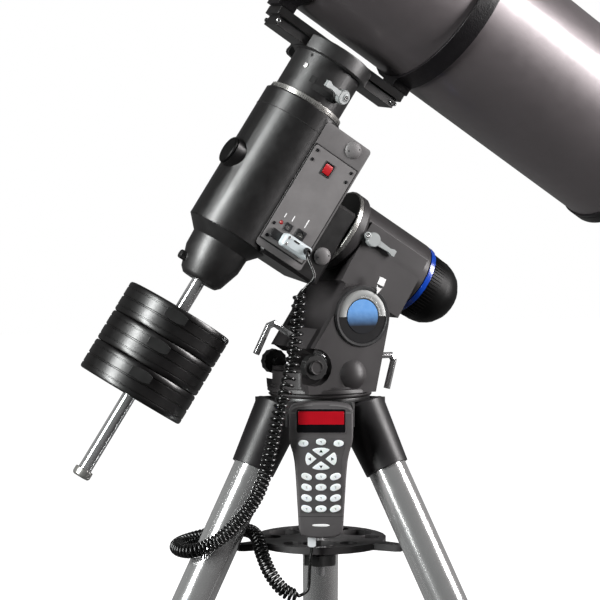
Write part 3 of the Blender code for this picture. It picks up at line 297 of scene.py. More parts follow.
# ------------------------------------------------------------------ pieces
def piece(name, mesh, material, body, smooth=35.0):
    """Puts a mesh in the scene as a piece on a body. Edges sharper than smooth degrees stay crisp."""
    obj = bpy.data.objects.new(name, mesh)
    bpy.context.scene.collection.objects.link(obj)
    mesh.materials.clear()
    mesh.materials.append(MATERIAL[material])
    mesh.shade_smooth()
    if smooth:
        mesh.set_sharp_from_angle(angle=math.radians(smooth))
    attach(obj, body)
    return obj


def rounded(obj, width):
    """Rounds the sharp edges by width and lets the flats keep straight shading."""
    bevel = obj.modifiers.new("edge", "BEVEL")
    bevel.width = width
    bevel.segments = 2
    bevel.limit_method = "ANGLE"
    bevel.angle_limit = math.radians(30.0)
    bevel.use_clamp_overlap = True
    normals = obj.modifiers.new("flats", "WEIGHTED_NORMAL")
    normals.keep_sharp = False
    normals.weight = 60


def welded(mesh):
    """Joins the points that lie together and turns every face outwards."""
    work = bmesh.new()
    work.from_mesh(mesh)
    bmesh.ops.remove_doubles(work, verts=work.verts, dist=1e-6)
    bmesh.ops.recalc_face_normals(work, faces=work.faces)
    work.to_mesh(mesh)
    work.free()


def from_faces(name, points, faces, at):
    mesh = bpy.data.meshes.new(name)
    mesh.from_pydata([at @ Vector(p) for p in points], [], faces)
    mesh.validate()
    welded(mesh)
    return mesh


def turned(name, profile, at, steps, closed=False):
    """A profile of (radius, height) turned round local Z."""
    points, faces, rows = [], [], len(profile)
    for k in range(steps):
        a = 2 * math.pi * k / steps
        points += [(r * math.cos(a), r * math.sin(a), z) for r, z in profile]
    for k in range(steps):
        here, there = k * rows, (k + 1) % steps * rows
        for i in range(rows if closed else rows - 1):
            j = (i + 1) % rows
            faces.append([here + i, here + j, there + j, there + i])
    return from_faces(name, points, faces, at)


def plate(name, loops, depth, at, edge, resolution=2):
    """A flat shape with holes, depth thick about local Z, with rounded edges."""
    curve = bpy.data.curves.new(name, "CURVE")
    curve.dimensions = "2D"
    curve.fill_mode = "BOTH"
    for loop in loops:
        spline = curve.splines.new("POLY")
        spline.points.add(len(loop) - 1)
        for point, (x, y) in zip(spline.points, loop):
            point.co = (x, y, 0, 1)
        spline.use_cyclic_u = True
    curve.extrude = depth / 2 - edge
    curve.bevel_depth = edge
    curve.bevel_resolution = resolution
    curve.offset = -edge
    holder = bpy.data.objects.new(name, curve)
    bpy.context.scene.collection.objects.link(holder)
    bpy.context.view_layer.update()
    mesh = bpy.data.meshes.new_from_object(holder)
    mesh.name = name
    bpy.data.objects.remove(holder)
    welded(mesh)
    mesh.transform(at)
    return mesh


def circle(x, y, r, count=40, start=0.0, sweep=360.0):
    closed = sweep >= 360.0
    steps = count if closed else count - 1
    angles = [math.radians(start + sweep * k / steps) for k in range(count)]
    return [(x + r * math.cos(a), y + r * math.sin(a)) for a in angles]


def oval(x, y, half_x, half_y, tilt, count, power):
    """A closed loop; a power under 1 makes it squarer than an ellipse."""
    out = []
    for k in range(count):
        a = 2 * math.pi * k / count
        u = half_x * math.copysign(abs(math.cos(a)) ** power, math.cos(a))
        v = half_y * math.copysign(abs(math.sin(a)) ** power, math.sin(a))
        out.append((x + u * math.cos(tilt) - v * math.sin(tilt),
                    y + u * math.sin(tilt) + v * math.cos(tilt)))
    return out


def rectangle(x0, y0, x1, y1, r, count=5):
    out = []
    for cx, cy, start in ((x1 - r, y1 - r, 0), (x0 + r, y1 - r, 90), (x0 + r, y0 + r, 180),
                          (x1 - r, y0 + r, 270)):
        out += circle(cx, cy, r, count, start, 90.0)
    return out


def smooth_route(points, spacing):
    """Points along a smooth curve through the given route, at most spacing apart."""
    path = [Vector(p) for p in points]
    ends = [path[0] * 2 - path[1]] + path + [path[-1] * 2 - path[-2]]
    out = [path[0]]
    for i in range(len(path) - 1):
        a, b, c, d = ends[i : i + 4]
        count = max(1, math.ceil((c - b).length / spacing))
        for k in range(1, count + 1):
            t = k / count
            point = 2 * b + (c - a) * t + (2 * a - 5 * b + 4 * c - d) * t * t
            point = point + (3 * b - a - 3 * c + d) * t * t * t
            out.append(point / 2)
    return out


def line_piece(name, points, radius, material, body):
    curve = bpy.data.curves.new(name, "CURVE")
    curve.dimensions = "3D"
    spline = curve.splines.new("POLY")
    spline.points.add(len(points) - 1)
    for point, p in zip(spline.points, points):
        point.co = (*p, 1)
    curve.bevel_depth = radius
    curve.bevel_resolution = 5
    curve.use_fill_caps = True
    obj = bpy.data.objects.new(name, curve)
    bpy.context.scene.collection.objects.link(obj)
    curve.materials.append(MATERIAL[material])
    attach(obj, body)
    return obj


# ------------------------------------------------------------------ curly cord
CORD_R = 0.0021
COIL_MEAN_R = 0.0083
PITCH_TOP = 0.0098
PITCH_LOW = 0.0054
TURN_POINTS = 16
HAND_ANGLE = 243.7
HAND_FRONT = 0.112
HAND_TOP = -0.0085
HAND_THICK = 0.026
BOX_HALF = 0.0525
PANEL_THICK = 0.0015
HOOD_DEEP = 0.0170
GAP = 0.0003
COIL_END = 0.012
SMOOTHING_PASSES = 3


def hand_frame():
    a = math.radians(HAND_ANGLE)
    out = Vector((math.cos(a), math.sin(a), 0))
    return axes(MOUNT + out * HAND_FRONT + UP * HAND_TOP, UP.cross(out), UP, out)


HAND = hand_frame()
LEAD_TOP = [(-0.0602, -0.0725, 0.1832), (-0.0592, -0.0800, 0.1760), (-0.0568, -0.0850, 0.1660)]
LEAD_TOP += [(-0.0535, -0.0890, 0.1540), (-0.0550, -0.0890, 0.1460), (-0.0600, -0.0870, 0.1420)]
COIL = [(-0.0665, -0.0838, 0.1335), (-0.0708, -0.0815, 0.1212), (-0.0734, -0.0808, 0.0958)]
COIL += [(-0.0775, -0.0825, 0.0655), (-0.0855, -0.0860, 0.0330), (-0.0960, -0.0915, 0.0060)]
COIL += [(-0.1035, -0.0930, -0.0140), (-0.1100, -0.0910, -0.0420), (-0.1150, -0.0880, -0.0700)]
COIL += [(-0.1200, -0.0820, -0.0990), (-0.1270, -0.0755, -0.1235), (-0.1370, -0.0680, -0.1442)]
COIL += [(-0.1490, -0.0605, -0.1609), (-0.1635, -0.0520, -0.1775), (-0.1800, -0.0415, -0.1900)]
COIL += [(-0.1945, -0.0285, -0.1975), (-0.2020, -0.0080, -0.1995), (-0.2005, 0.0130, -0.1985)]
COIL += [(-0.1870, 0.0285, -0.1965), (-0.1640, 0.0370, -0.1935), (-0.1390, 0.0345, -0.1890)]
COIL += [(-0.1160, 0.0225, -0.1840), (-0.1030, 0.0020, -0.1835), (-0.1020, -0.0200, -0.1885)]
COIL += [(-0.1040, -0.0390, -0.2050), (-0.1015, -0.0520, -0.2240), (-0.0955, -0.0620, -0.2390)]
COIL += [(-0.0862, -0.0712, -0.2511), (-0.0748, -0.0768, -0.2570), (-0.0675, -0.0795, -0.2562)]
LEAD_LOW = [(-0.0600, -0.0825, -0.2530), (-0.0580, -0.0830, -0.2440)]
LEAD_LOW += [(-0.0570, -0.0832, -0.2250), (-0.0562, -0.0835, -0.2080)]


def helix(centre):
    """Turns of wire round a centre line; the pitch closes up down its length."""
    lengths = [0.0]
    for a, b in zip(centre, centre[1:]):
        lengths.append(lengths[-1] + (b - a).length)
    total = lengths[-1]
    tangent = (centre[1] - centre[0]).normalized()
    side = tangent.orthogonal().normalized()
    out, phase, at, index = [], 0.0, 0.0, 0
    while at < total:
        while lengths[index + 1] < at:
            index += 1
        t = (at - lengths[index]) / (lengths[index + 1] - lengths[index])
        spot = centre[index].lerp(centre[index + 1], t)
        tangent = (centre[index + 1] - centre[index]).normalized()
        side = (side - tangent * side.dot(tangent)).normalized()
        grow = min(1.0, at / COIL_END, (total - at) / COIL_END)
        reach = COIL_MEAN_R * (3 - 2 * grow) * grow * grow
        across = side * math.cos(phase) + tangent.cross(side) * math.sin(phase)
        out.append(spot + across * reach)
        stretch = min(1.0, max(0.0, (at - 0.08) / 0.22))
        pitch = PITCH_TOP + (PITCH_LOW - PITCH_TOP) * stretch
        phase += 2 * math.pi / TURN_POINTS
        at += pitch / TURN_POINTS
    return out


def make_cord():
    """One wire from the plug's hood on the panel, through the coil, to the controller's plug."""
    plug_foot = HAND @ Vector((-0.0115, -0.1735 - 0.0125 - GAP, -0.0125))
    plug_face = HEAD @ Vector((0.0780, -BOX_HALF - PANEL_THICK - HOOD_DEEP - 3 * GAP, -0.0545))
    top = [MOUNT + Vector(p) for p in LEAD_TOP]
    top[0] = plug_face - HEAD.to_3x3() @ Vector((0, 0.005, 0))
    low = [MOUNT + Vector(p) for p in LEAD_LOW] + [plug_foot - UP * 0.006]
    centre = smooth_route([MOUNT + Vector(p) for p in COIL], 0.002)
    route = [plug_face] + smooth_route(top, 0.003)
    route += helix(centre) + smooth_route(low, 0.003) + [plug_foot]
    clean = [route[0]]
    for p in route[1:]:
        if (p - clean[-1]).length > 0.0012:
            clean.append(p)
    clean[-1] = plug_foot
    for _ in range(SMOOTHING_PASSES):
        inner = [(a + 2 * b + c) / 4 for a, b, c in zip(clean, clean[1:], clean[2:])]
        clean = [clean[0]] + inner + [clean[-1]]
    cord = line_piece("controller_cord", clean, CORD_R, "cord", "stand")
    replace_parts(cord, "cord_lead_top", "cord_coil", "cord_lead_low")
    length = sum((b - a).length for a, b in zip(clean, clean[1:]))
    return cord, plug_face, length


make_camera()
cord, cord_exit, cord_length = make_cord()


# ------------------------------------------------------------------ solids kept in shape
def dress(node, material, edge):
    """Stands for a CAD node with the same shape: welded, with its sharp edges rounded."""
    source = frame["nodes"][node]
    work = bmesh.new()
    work.from_mesh(source.data)
    work.transform(source.matrix_world)
    bmesh.ops.remove_doubles(work, verts=work.verts, dist=2e-6)
    bmesh.ops.dissolve_limit(work, angle_limit=math.radians(0.6), verts=work.verts, edges=work.edges)
    bmesh.ops.recalc_face_normals(work, faces=work.faces)
    mesh = bpy.data.meshes.new(node + "_shell")
    work.to_mesh(mesh)
    work.free()
    obj = piece(node + "_shell", mesh, material, BODY_OF[node], None)
    rounded(obj, edge)
    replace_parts(obj, node)


def trim(name, mesh, material, node, smooth=35.0):
    """A small piece that belongs with a CAD node."""
    return piece(name, mesh, material, BODY_OF[node], smooth)


def lathe(name, profile, at, steps, material, node, closed=False):
    """A turned piece that belongs with a CAD node."""
    return trim(name, turned(name, profile, at, steps, closed), material, node)


def flat(name, loops, depth, at, edge, material, node):
    """A flat piece that belongs with a CAD node."""
    return trim(name, plate(name, loops, depth, at, edge), material, node)


DRESSED = {
    "tripod_head": ("casting", 0.0010), "mount_base": ("fork", 0.0010),
    "ra_body": ("fork", 0.0010), "dec_housing": ("casting", 0.0008),
    "shaft_nose": ("neck", 0.0008), "saddle": ("neck", 0.0008),
    "controller_holder": ("casting", 0.0005), "center_rod": ("chrome", 0.0004),
    "latitude_bolt_n": ("chrome", 0.0003), "latitude_bolt_s": ("chrome", 0.0003),
    "azimuth_knob_a": ("knob", 0.0005), "azimuth_knob_b": ("knob", 0.0005),
    "ra_circle": ("silver", 0.0004), "dec_circle": ("silver", 0.0004),
    "ra_lever": ("lever", 0.0006), "dec_lever": ("lever", 0.0006),
    "polar_ring": ("blue", 0.0006), "port_cap": ("cap", 0.0006),
    "control_panel": ("panel", 0.0003), "power_switch": ("red", 0.0003),
    "cord_plug": ("hood", 0.0008), "shaft_stop": ("silver", 0.0006),
    "counterweight_shaft": ("chrome", 0.0006), "dovetail_plate": ("casting", 0.0006),
    "tube_ring_front": ("hammered", 0.0006), "tube_ring_rear": ("hammered", 0.0006),
    "secondary_holder": ("inside", 0.0003), "focuser_body": ("casting", 0.0008),
    "focuser_drawtube": ("silver", 0.0005), "focus_knob": ("knob", 0.0005),
    "saddle_knob": ("knob", 0.0008), "tray": ("tray", 0.0008), "tray_knob": ("knob", 0.0008),
    "hand_plug": ("clear", 0.0004), "polar_cap": ("cap", 0.0008),
}
for tag in "abc":
    DRESSED["leg_socket_" + tag] = ("socket_black", 0.0010)
    DRESSED["leg_tube_" + tag] = ("steel", 0.0004)
    DRESSED["lower_leg_" + tag] = ("silver", 0.0006)
    DRESSED["leg_lock_knob_" + tag] = ("knob", 0.0006)
    DRESSED["weight_knob_" + tag] = ("knob", 0.0010)
for node, (material, edge) in DRESSED.items():
    dress(node, material, edge)


def reach(node, at):
    """How far a CAD node's solid comes out along a frame's Z."""
    source = frame["nodes"][node]
    back = at.inverted() @ source.matrix_world
    return max((back @ v.co).z for v in source.data.vertices)


def on_round(s, y, t, r=None):
    """A frame on a round piece about the Dec axis: z out of the surface, y up the axis."""
    out = Vector((s, y, 0)).normalized()
    spot = out * (r if r else Vector((s, y)).length) + Vector((0, 0, t))
    up = Vector((0, 0, 1))
    return HEAD @ axes(spot, up.cross(out), up, out)


def sector(name, profile, at, start, sweep, steps):
    """A closed (radius, height) profile swept through part of a turn about local Z."""
    points, faces, rows = [], [], len(profile)
    for k in range(steps + 1):
        a = math.radians(start + sweep * k / steps)
        points += [(r * math.cos(a), r * math.sin(a), z) for r, z in profile]
    for k in range(steps):
        for i in range(rows):
            j = (i + 1) % rows
            faces.append([k * rows + i, k * rows + j, (k + 1) * rows + j, (k + 1) * rows + i])
    faces += [list(range(rows)), list(range(steps * rows, (steps + 1) * rows))]
    return from_faces(name, points, faces, at)


def ribs(name, count, r, height, width, low, high, at, slope=0.0):
    """Ribs or graduations along a round surface, as one mesh."""
    points, faces = [], []
    for k in range(count):
        a = 2 * math.pi * k / count
        out, side = Vector((math.cos(a), math.sin(a), 0)), Vector((-math.sin(a), math.cos(a), 0))
        base = len(points)
        for z, drop in ((low, 0.0), (high, slope)):
            for lift, half in ((-0.0006, width / 2), (height, width / 2 * 0.7)):
                for sign in (-1, 1):
                    points.append(out * (r - drop + lift) + side * half * sign + Vector((0, 0, z)))
        for quad in ((0, 1, 3, 2), (4, 5, 7, 6), (0, 1, 5, 4), (2, 3, 7, 6), (0, 2, 6, 4), (1, 3, 7, 5)):
            faces.append([base + i for i in quad])
    return from_faces(name, points, faces, at)


# ------------------------------------------------------------------ telescope tube
TUBE_R = 0.114
TUBE_WALL = 0.0015
TUBE_AXIS = 0.326
TUBE_FRONT = -0.500
TUBE_REAR = 0.437
ALONG_AXIS = axes((0, 0, 0), (0, 0, -1), (0, 1, 0), (1, 0, 0))
TUBE = HEAD @ shift(0, 0, TUBE_AXIS) @ ALONG_AXIS


def make_tube():
    r, inner = TUBE_R, TUBE_R - TUBE_WALL
    lip = r + 0.0025
    profile = [(inner, TUBE_REAR), (r, TUBE_REAR), (r, TUBE_REAR - 0.0006)]
    profile += [(r, TUBE_FRONT + 0.0166), (r + 0.0004, TUBE_FRONT + 0.016)]
    profile += [(lip - 0.0006, TUBE_FRONT + 0.016), (lip, TUBE_FRONT + 0.0154)]
    profile += [(lip, TUBE_FRONT + 0.0010), (lip - 0.001, TUBE_FRONT), (inner + 0.0006, TUBE_FRONT)]
    profile += [(inner, TUBE_FRONT + 0.0006)]
    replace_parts(lathe("tube_skin", profile, TUBE, 180, "tube", "optical_tube", True), "optical_tube")
    rear = TUBE_REAR + GAP
    profile = [(0, rear + 0.024), (0.060, rear + 0.024), (0.0605, rear + 0.0225), (0.0635, rear + 0.0225)]
    profile += [(0.064, rear + 0.024), (0.1080, rear + 0.024), (0.1100, rear + 0.0232)]
    profile += [(lip - 0.0004, rear + 0.0195), (lip, rear + 0.018), (lip, rear + 0.0065)]
    profile += [(lip - 0.0006, rear + 0.0060), (lip - 0.0006, rear + 0.0050), (lip, rear + 0.0045)]
    profile += [(lip, rear + 0.0006), (lip - 0.0006, rear), (inner - 0.002, rear)]
    profile += [(inner - 0.002, rear - 0.004), (0.1015, rear - 0.010), (0.1015, rear - 0.034)]
    profile += [(0.098, rear - 0.0345), (0, rear - 0.0352)]
    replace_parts(lathe("cell_shell", profile, TUBE, 180, "hammered", "mirror_cell"), "mirror_cell")
    glass = [(0.0, rear - 0.0362), (0.0970, rear - 0.0352), (0.0970, rear - 0.0346)]
    lathe("main_mirror", glass, TUBE, 96, "mirror", "mirror_cell")


make_tube()


# ------------------------------------------------------------------ counterweights
WEIGHT_R = 0.074
WEIGHT_BORE = 0.0094
WEIGHT_THICK = 0.0421
FIRST_WEIGHT = -0.2011


def make_weights():
    r = WEIGHT_R
    for k, tag in enumerate("abc"):
        top = FIRST_WEIGHT - k * (WEIGHT_THICK + GAP)
        mid = top - WEIGHT_THICK / 2
        half = [(WEIGHT_BORE + 0.001, top), (0.0180, top), (0.0190, top - 0.0012), (0.0560, top - 0.0012)]
        half += [(0.0570, top), (r - 0.0030, top), (r - 0.0012, top - 0.0006), (r, top - 0.0026)]
        half += [(r, top - 0.0070), (r - 0.0007, top - 0.0074), (r - 0.0007, top - 0.0084)]
        half += [(r, top - 0.0088), (r, mid + 0.0014), (r - 0.0013, mid + 0.0006)]
        profile = half + [(x, 2 * mid - z) for x, z in reversed(half)]
        node = "counterweight_" + tag
        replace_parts(lathe("weight_" + tag, profile, HEAD, 128, "iron", node, True), node)


make_weights()


# ------------------------------------------------------------------ screws and small fittings
def screw(name, at, r, node, kind, material, height):
    """A screw head on local Z. kind is hex, slot or cross."""
    rim = min(0.0004, r * 0.2)
    if kind == "hex":
        well = r * 0.52
        profile = [(0, height * 0.25), (well, height * 0.25), (well, height - rim * 0.5)]
        profile += [(well + rim * 0.4, height), (r - rim, height), (r, height - rim), (r, -0.0004)]
        lathe(name, profile, at, 32, material, node)
        return
    gap = r * 0.14 * 1.2
    parts = []
    quarters = ((0, 180), (180, 180)) if kind == "slot" else ((0, 90), (90, 90), (180, 90), (270, 90))
    for start, sweep in quarters:
        mid = math.radians(start + sweep / 2)
        x, y = gap * math.cos(mid), gap * math.sin(mid)
        parts.append(circle(x, y, r * 0.93, 14, start, sweep))
        if sweep < 180:
            parts[-1].append((x, y))
    flat(name, parts, height, at @ shift(0, 0, height / 2), min(0.0002, height * 0.2), material, node)
    base = [(0, height * 0.35), (r * 0.96, height * 0.35), (r, height * 0.2), (r, -0.0004)]
    lathe(name + "_seat", base, at, 28, material, node)


def on_panel(s, t, lift=0.0):
    """A frame on the control panel's face: x towards the south end, z out of the panel."""
    return HEAD @ shift(s, -BOX_HALF - GAP - PANEL_THICK - lift, t) @ NEAR_FACE


def on_box(s, t, lift=0.0):
    return HEAD @ shift(s, -BOX_HALF - lift, t) @ NEAR_FACE


def make_panel_screws():
    places = ((0.0262, 0.0640), (0.0262, 0.0505), (0.0828, 0.0640), (0.0828, 0.0505),
              (0.0262, -0.0450), (0.0262, -0.0630), (0.0828, -0.0630))
    for k, (s, t) in enumerate(places, 1):
        screw(f"panel_screw_{k}", on_panel(s, t), 0.0021, "control_panel", "cross", "dark_screw", 0.0008)


def make_sockets():
    """The rocker's frame, the light, the supply jack and the modular jack on the panel."""
    node = "control_panel"
    loops = [rectangle(0.0442, 0.0408, 0.0588, 0.0596, 0.0006),
             rectangle(0.0456, 0.0423, 0.0574, 0.0581, 0.0004)]
    flat("rocker_frame", loops, 0.0012, on_panel(0, 0, 0.0003), 0.0003, "plastic", node)
    profile = [(0, 0.0016), (0.0012, 0.0014), (0.0019, 0.0005), (0.0019, 0.0002), (0.0026, 0.0002),
               (0.0026, -0.0002), (0, -0.0002)]
    lathe("led", profile, on_panel(0.0345, -0.0395), 32, "led", node)
    loops = [rectangle(-0.0052, -0.0052, 0.0052, 0.0052, 0.0006), circle(0, 0, 0.0031, 28)]
    flat("supply_jack", loops, 0.0014, on_panel(0.0463, -0.0399, 0.0005), 0.0003, "plastic", node)
    profile = [(0, 0.0012), (0.0006, 0.0011), (0.0007, -0.0001), (0.0030, -0.0001), (0.0030, -0.0003)]
    lathe("supply_pin", profile, on_panel(0.0463, -0.0399), 24, "silver", node)
    s, t = 0.0660, -0.0393
    loops = [rectangle(-0.0070, -0.0062, 0.0070, 0.0062, 0.0006),
             [(-0.0048, -0.0040), (0.0048, -0.0040), (0.0048, 0.0022), (0.0024, 0.0022),
              (0.0024, 0.0040), (-0.0024, 0.0040), (-0.0024, 0.0022), (-0.0048, 0.0022)]]
    flat("modular_jack", loops, 0.0016, on_panel(s, t, 0.0006), 0.0003, "plastic", node)
    loops = [rectangle(-0.0055, -0.0048, 0.0055, 0.0048, 0.0004)]
    flat("modular_floor", loops, 0.0004, on_panel(s, t, 0.0001), 0.0001, "inside", node)
    for i in range(6):
        x = -0.0030 + i * 0.0012
        bar = [rectangle(x - 0.0002, -0.0036, x + 0.0002, 0.0012, 0.0001, 3)]
        flat(f"modular_contact_{i}", bar, 0.0003, on_panel(s, t, 0.0004), 0.00008, "silver", node)
    for s, t, width in ((0.0345, -0.0320, 0.006), (0.0463, -0.0310, 0.008), (0.0660, -0.0290, 0.012)):
        bar = [rectangle(-0.0007, 0.0, 0.0007, width, 0.0003, 3)]
        flat(f"label_bar_{int(s * 10000)}", bar, 0.0002, on_panel(s, t, 0.0001), 0.00005, "white", node)


def make_plug_details():
    """The plug's shell, thumb screws and slot, and the sleeve where the cord leaves it."""
    node = "cord_plug"
    shell = [rectangle(-0.0100, -0.0062, 0.0100, 0.0062, 0.0012)]
    flat("plug_shell", shell, 0.0040, on_panel(0.0385, -0.0565, 0.0024), 0.0005, "plastic", node)
    for i, t in enumerate((-0.0520, -0.0610)):
        screw(f"plug_screw_{i}", on_panel(0.0482, t, HOOD_DEEP + 0.0002), 0.0021, node, "slot", "screw",
              0.0008)
    slot = [rectangle(-0.0045, -0.0012, 0.0045, 0.0012, 0.0005)]
    flat("plug_slot", slot, 0.0005, on_panel(0.0600, -0.0520, HOOD_DEEP + 0.0003), 0.0001, "inside", node)
    sleeve = [(0.0048, 0.0), (0.0046, 0.0020), (0.0036, 0.0022), (0.0036, 0.0036), (0.0042, 0.0038),
              (0.0042, 0.0050), (0.0033, 0.0052), (0.0033, 0.0066), (0.0038, 0.0068), (0.0037, 0.0080),
              (0.0023, 0.0086), (0.0023, 0.0)]
    lathe("cord_relief", sleeve, on_panel(0.0780, -0.0545, HOOD_DEEP), 28, "plastic", node, True)


def make_cover_domes():
    """The two round covers on the drive box, each with the pin holes of its wrench."""
    dome = [(0, 0.0052), (0.0040, 0.0049), (0.0075, 0.0040), (0.0100, 0.0028), (0.0114, 0.0012),
            (0.0116, 0.0)]
    dent = [(0, 0.0004), (0.0010, 0.0004), (0.0010, -0.0004)]
    for i, (s, t) in enumerate(((0.0690, 0.0905), (0.1085, -0.0465))):
        lathe(f"cover_dome_{i}", dome, on_box(s, t), 64, "panel", "dec_housing")
        for side, degrees in ((0, 218), (2, 38)):
            a = math.radians(degrees)
            place = on_box(s + 0.0075 * math.cos(a), t + 0.0075 * math.sin(a), 0.0038)
            lathe(f"cover_pin_{i}_{side}", dent, place, 20, "inside", "dec_housing")


make_panel_screws()
make_sockets()
make_plug_details()
make_cover_domes()


def make_box_skin():
    """The drive box's grey faces on the black casting, and the groove round the panel."""
    loops = [rectangle(0.0185, -0.0795, 0.0925, 0.1030, 0.0050, 8),
             rectangle(0.0200, -0.0695, 0.0890, 0.0705, 0.0010)]
    flat("box_face", loops, 0.0008, on_box(0, 0, 0.0003), 0.0002, "box", "dec_housing")
    loops = [rectangle(0.0190, -0.0706, 0.0900, 0.0716, 0.0012),
             rectangle(0.0202, -0.0693, 0.0888, 0.0703, 0.0008)]
    flat("panel_groove", loops, 0.0006, on_box(0, 0, 0.0009), 0.0001, "inside", "dec_housing")


make_box_skin()


NECK_R = 0.0475
POLAR_ROUND = POLAR @ ALONG_AXIS


def make_neck_details():
    """The neck's hole and screw, the slot the declination lever sweeps in, and a painted shadow below the
    lever.
    """
    dot = [(0, 0.0004), (0.0020, 0.0004), (0.0022, -0.0006)]
    lathe("neck_hole", dot, on_round(-0.0382, -0.0282, 0.1656, NECK_R), 28, "inside", "saddle")
    screw("neck_screw", on_round(-0.0381, -0.0283, 0.1504, NECK_R), 0.0032, "saddle", "slot", "screw", 0.0012)
    middle = math.degrees(math.atan2(-0.0436, -0.0189))
    # lever_slot is the slot; the second black sector paints the lever's shadow on the neck.
    for name, low, high, start, sweep, steps in (("lever_slot", 0.1335, 0.1425, -12, 9, 6),
                                                 ("lever_painted_shadow", 0.1265, 0.1345, -2, 34, 14)):
        inner, outer = NECK_R - 0.0005, NECK_R + 0.0004
        slot = [(inner, low), (outer, low), (outer, high), (inner, high)]
        trim(name, sector(name, slot, HEAD, middle + start, sweep, steps), "inside", "dec_housing")


def make_lever_hubs():
    """A ring, a dark well and a hex screw in the middle of each clutch lever."""
    lever_at = BASE @ axes((0.040, -0.060, 0.202), (1, 0, 0), (0, 0, 1), (0, -1, 0))
    ring = [(0.0050, 0.0004), (0.0046, 0.0006), (0.0036, 0.0006), (0.0033, 0.0002), (0.0033, -0.0008),
            (0.0050, -0.0008)]
    well = [(0, 0.0001), (0.0034, 0.0001), (0.0034, -0.0006)]
    for name, node, at in (("dec_hub", "dec_lever", on_round(0.0179, -0.0440, 0.1400)),
                           ("ra_hub", "ra_lever", lever_at)):
        at = at @ shift(0, 0, reach(node, at))
        lathe(name + "_ring", ring, at, 40, "lever", node, True)
        lathe(name + "_floor", well, at, 32, "inside", node)
        screw(name + "_screw", at, 0.0026, node, "hex", "screw", 0.0010)


def make_circles():
    """The housing's seam, the graduations of both circles, and the polar ring's face and cap ribs."""
    seam = [(0.0556, 0.0826), (0.05585, 0.0827), (0.05585, 0.0833), (0.0556, 0.0834)]
    lathe("housing_seam", seam, HEAD, 128, "inside", "dec_housing", True)
    for name, node, at, low, high in (("dec_marks", "dec_circle", HEAD, 0.1100, 0.1132),
                                      ("ra_marks", "ra_circle", POLAR_ROUND, 0.1252, 0.1284)):
        source = frame["nodes"][node]
        back = at.inverted() @ source.matrix_world
        outer = max((back @ v.co).xy.length for v in source.data.vertices) * 0.9995
        trim(name, ribs(name, 120, outer, 0.0001, 0.0004, low, high, at), "print", node)
    face = [(0.0302, 0.1239), (0.0530, 0.1239), (0.0534, 0.1243), (0.0302, 0.1243)]
    lathe("ra_face", face, POLAR_ROUND, 128, "neck", "ra_circle", True)
    mesh = ribs("cap_ribs", 64, 0.0460, 0.0009, 0.0022, 0.2650, 0.2830, POLAR_ROUND, 0.0012)
    trim("cap_ribs", mesh, "cap", "polar_cap")


def make_plate_screws():
    k = 0
    for s in (-0.0985, 0.0945, 0.0985):
        for side, face in ((-1, NEAR_FACE), (1, turn(180, "Z") @ NEAR_FACE)):
            k += 1
            at = HEAD @ shift(s, side * 0.0200, 0.1785) @ face
            screw(f"plate_screw_{k}", at, 0.0030, "dovetail_plate", "hex", "screw", 0.0022)


make_neck_details()
make_lever_hubs()
make_circles()
make_plate_screws()


def make_base_details():
    """The fork's bulge and the hubs of the two azimuth knobs."""
    r, steps = 0.0294, 32
    ball = [(r * math.sin(math.pi * k / steps), r * math.cos(math.pi * k / steps)) for k in range(steps + 1)]
    lathe("fork_bulge", ball, BASE @ shift(0.016, -0.041, 0.0215), 72, "fork", "mount_base")
    for tag in "ab":
        joint = JOINT[f"azimuth_knob_{tag}_turn"]
        place = Vector(joint["pos_m"])
        out = Vector(joint["axis"]).normalized()
        if out.dot(place - MOUNT) < 0:
            out = -out
        at = axes(place, UP.cross(out), UP, out)
        node = "azimuth_knob_" + tag
        high = reach(node, at)
        hub = [(0, high + 0.0004), (0.0066, high + 0.0004), (0.0070, high + 0.0008), (0.0072, high + 0.0014),
               (0.0084, high + 0.0016), (0.0092, high + 0.0010), (0.0094, high - 0.0006)]
        lathe("azimuth_hub_" + tag, hub, at, 48, "fork", node)


make_base_details()


# ------------------------------------------------------------------ latitude dial and pointer
CHEEK_OUT = 0.063
LATITUDE_PIVOT = Vector((0.0295, 0.0, 0.097))
DIAL_R = 0.0378
DISC_R = 0.0225
SCALE_IN = 0.0238


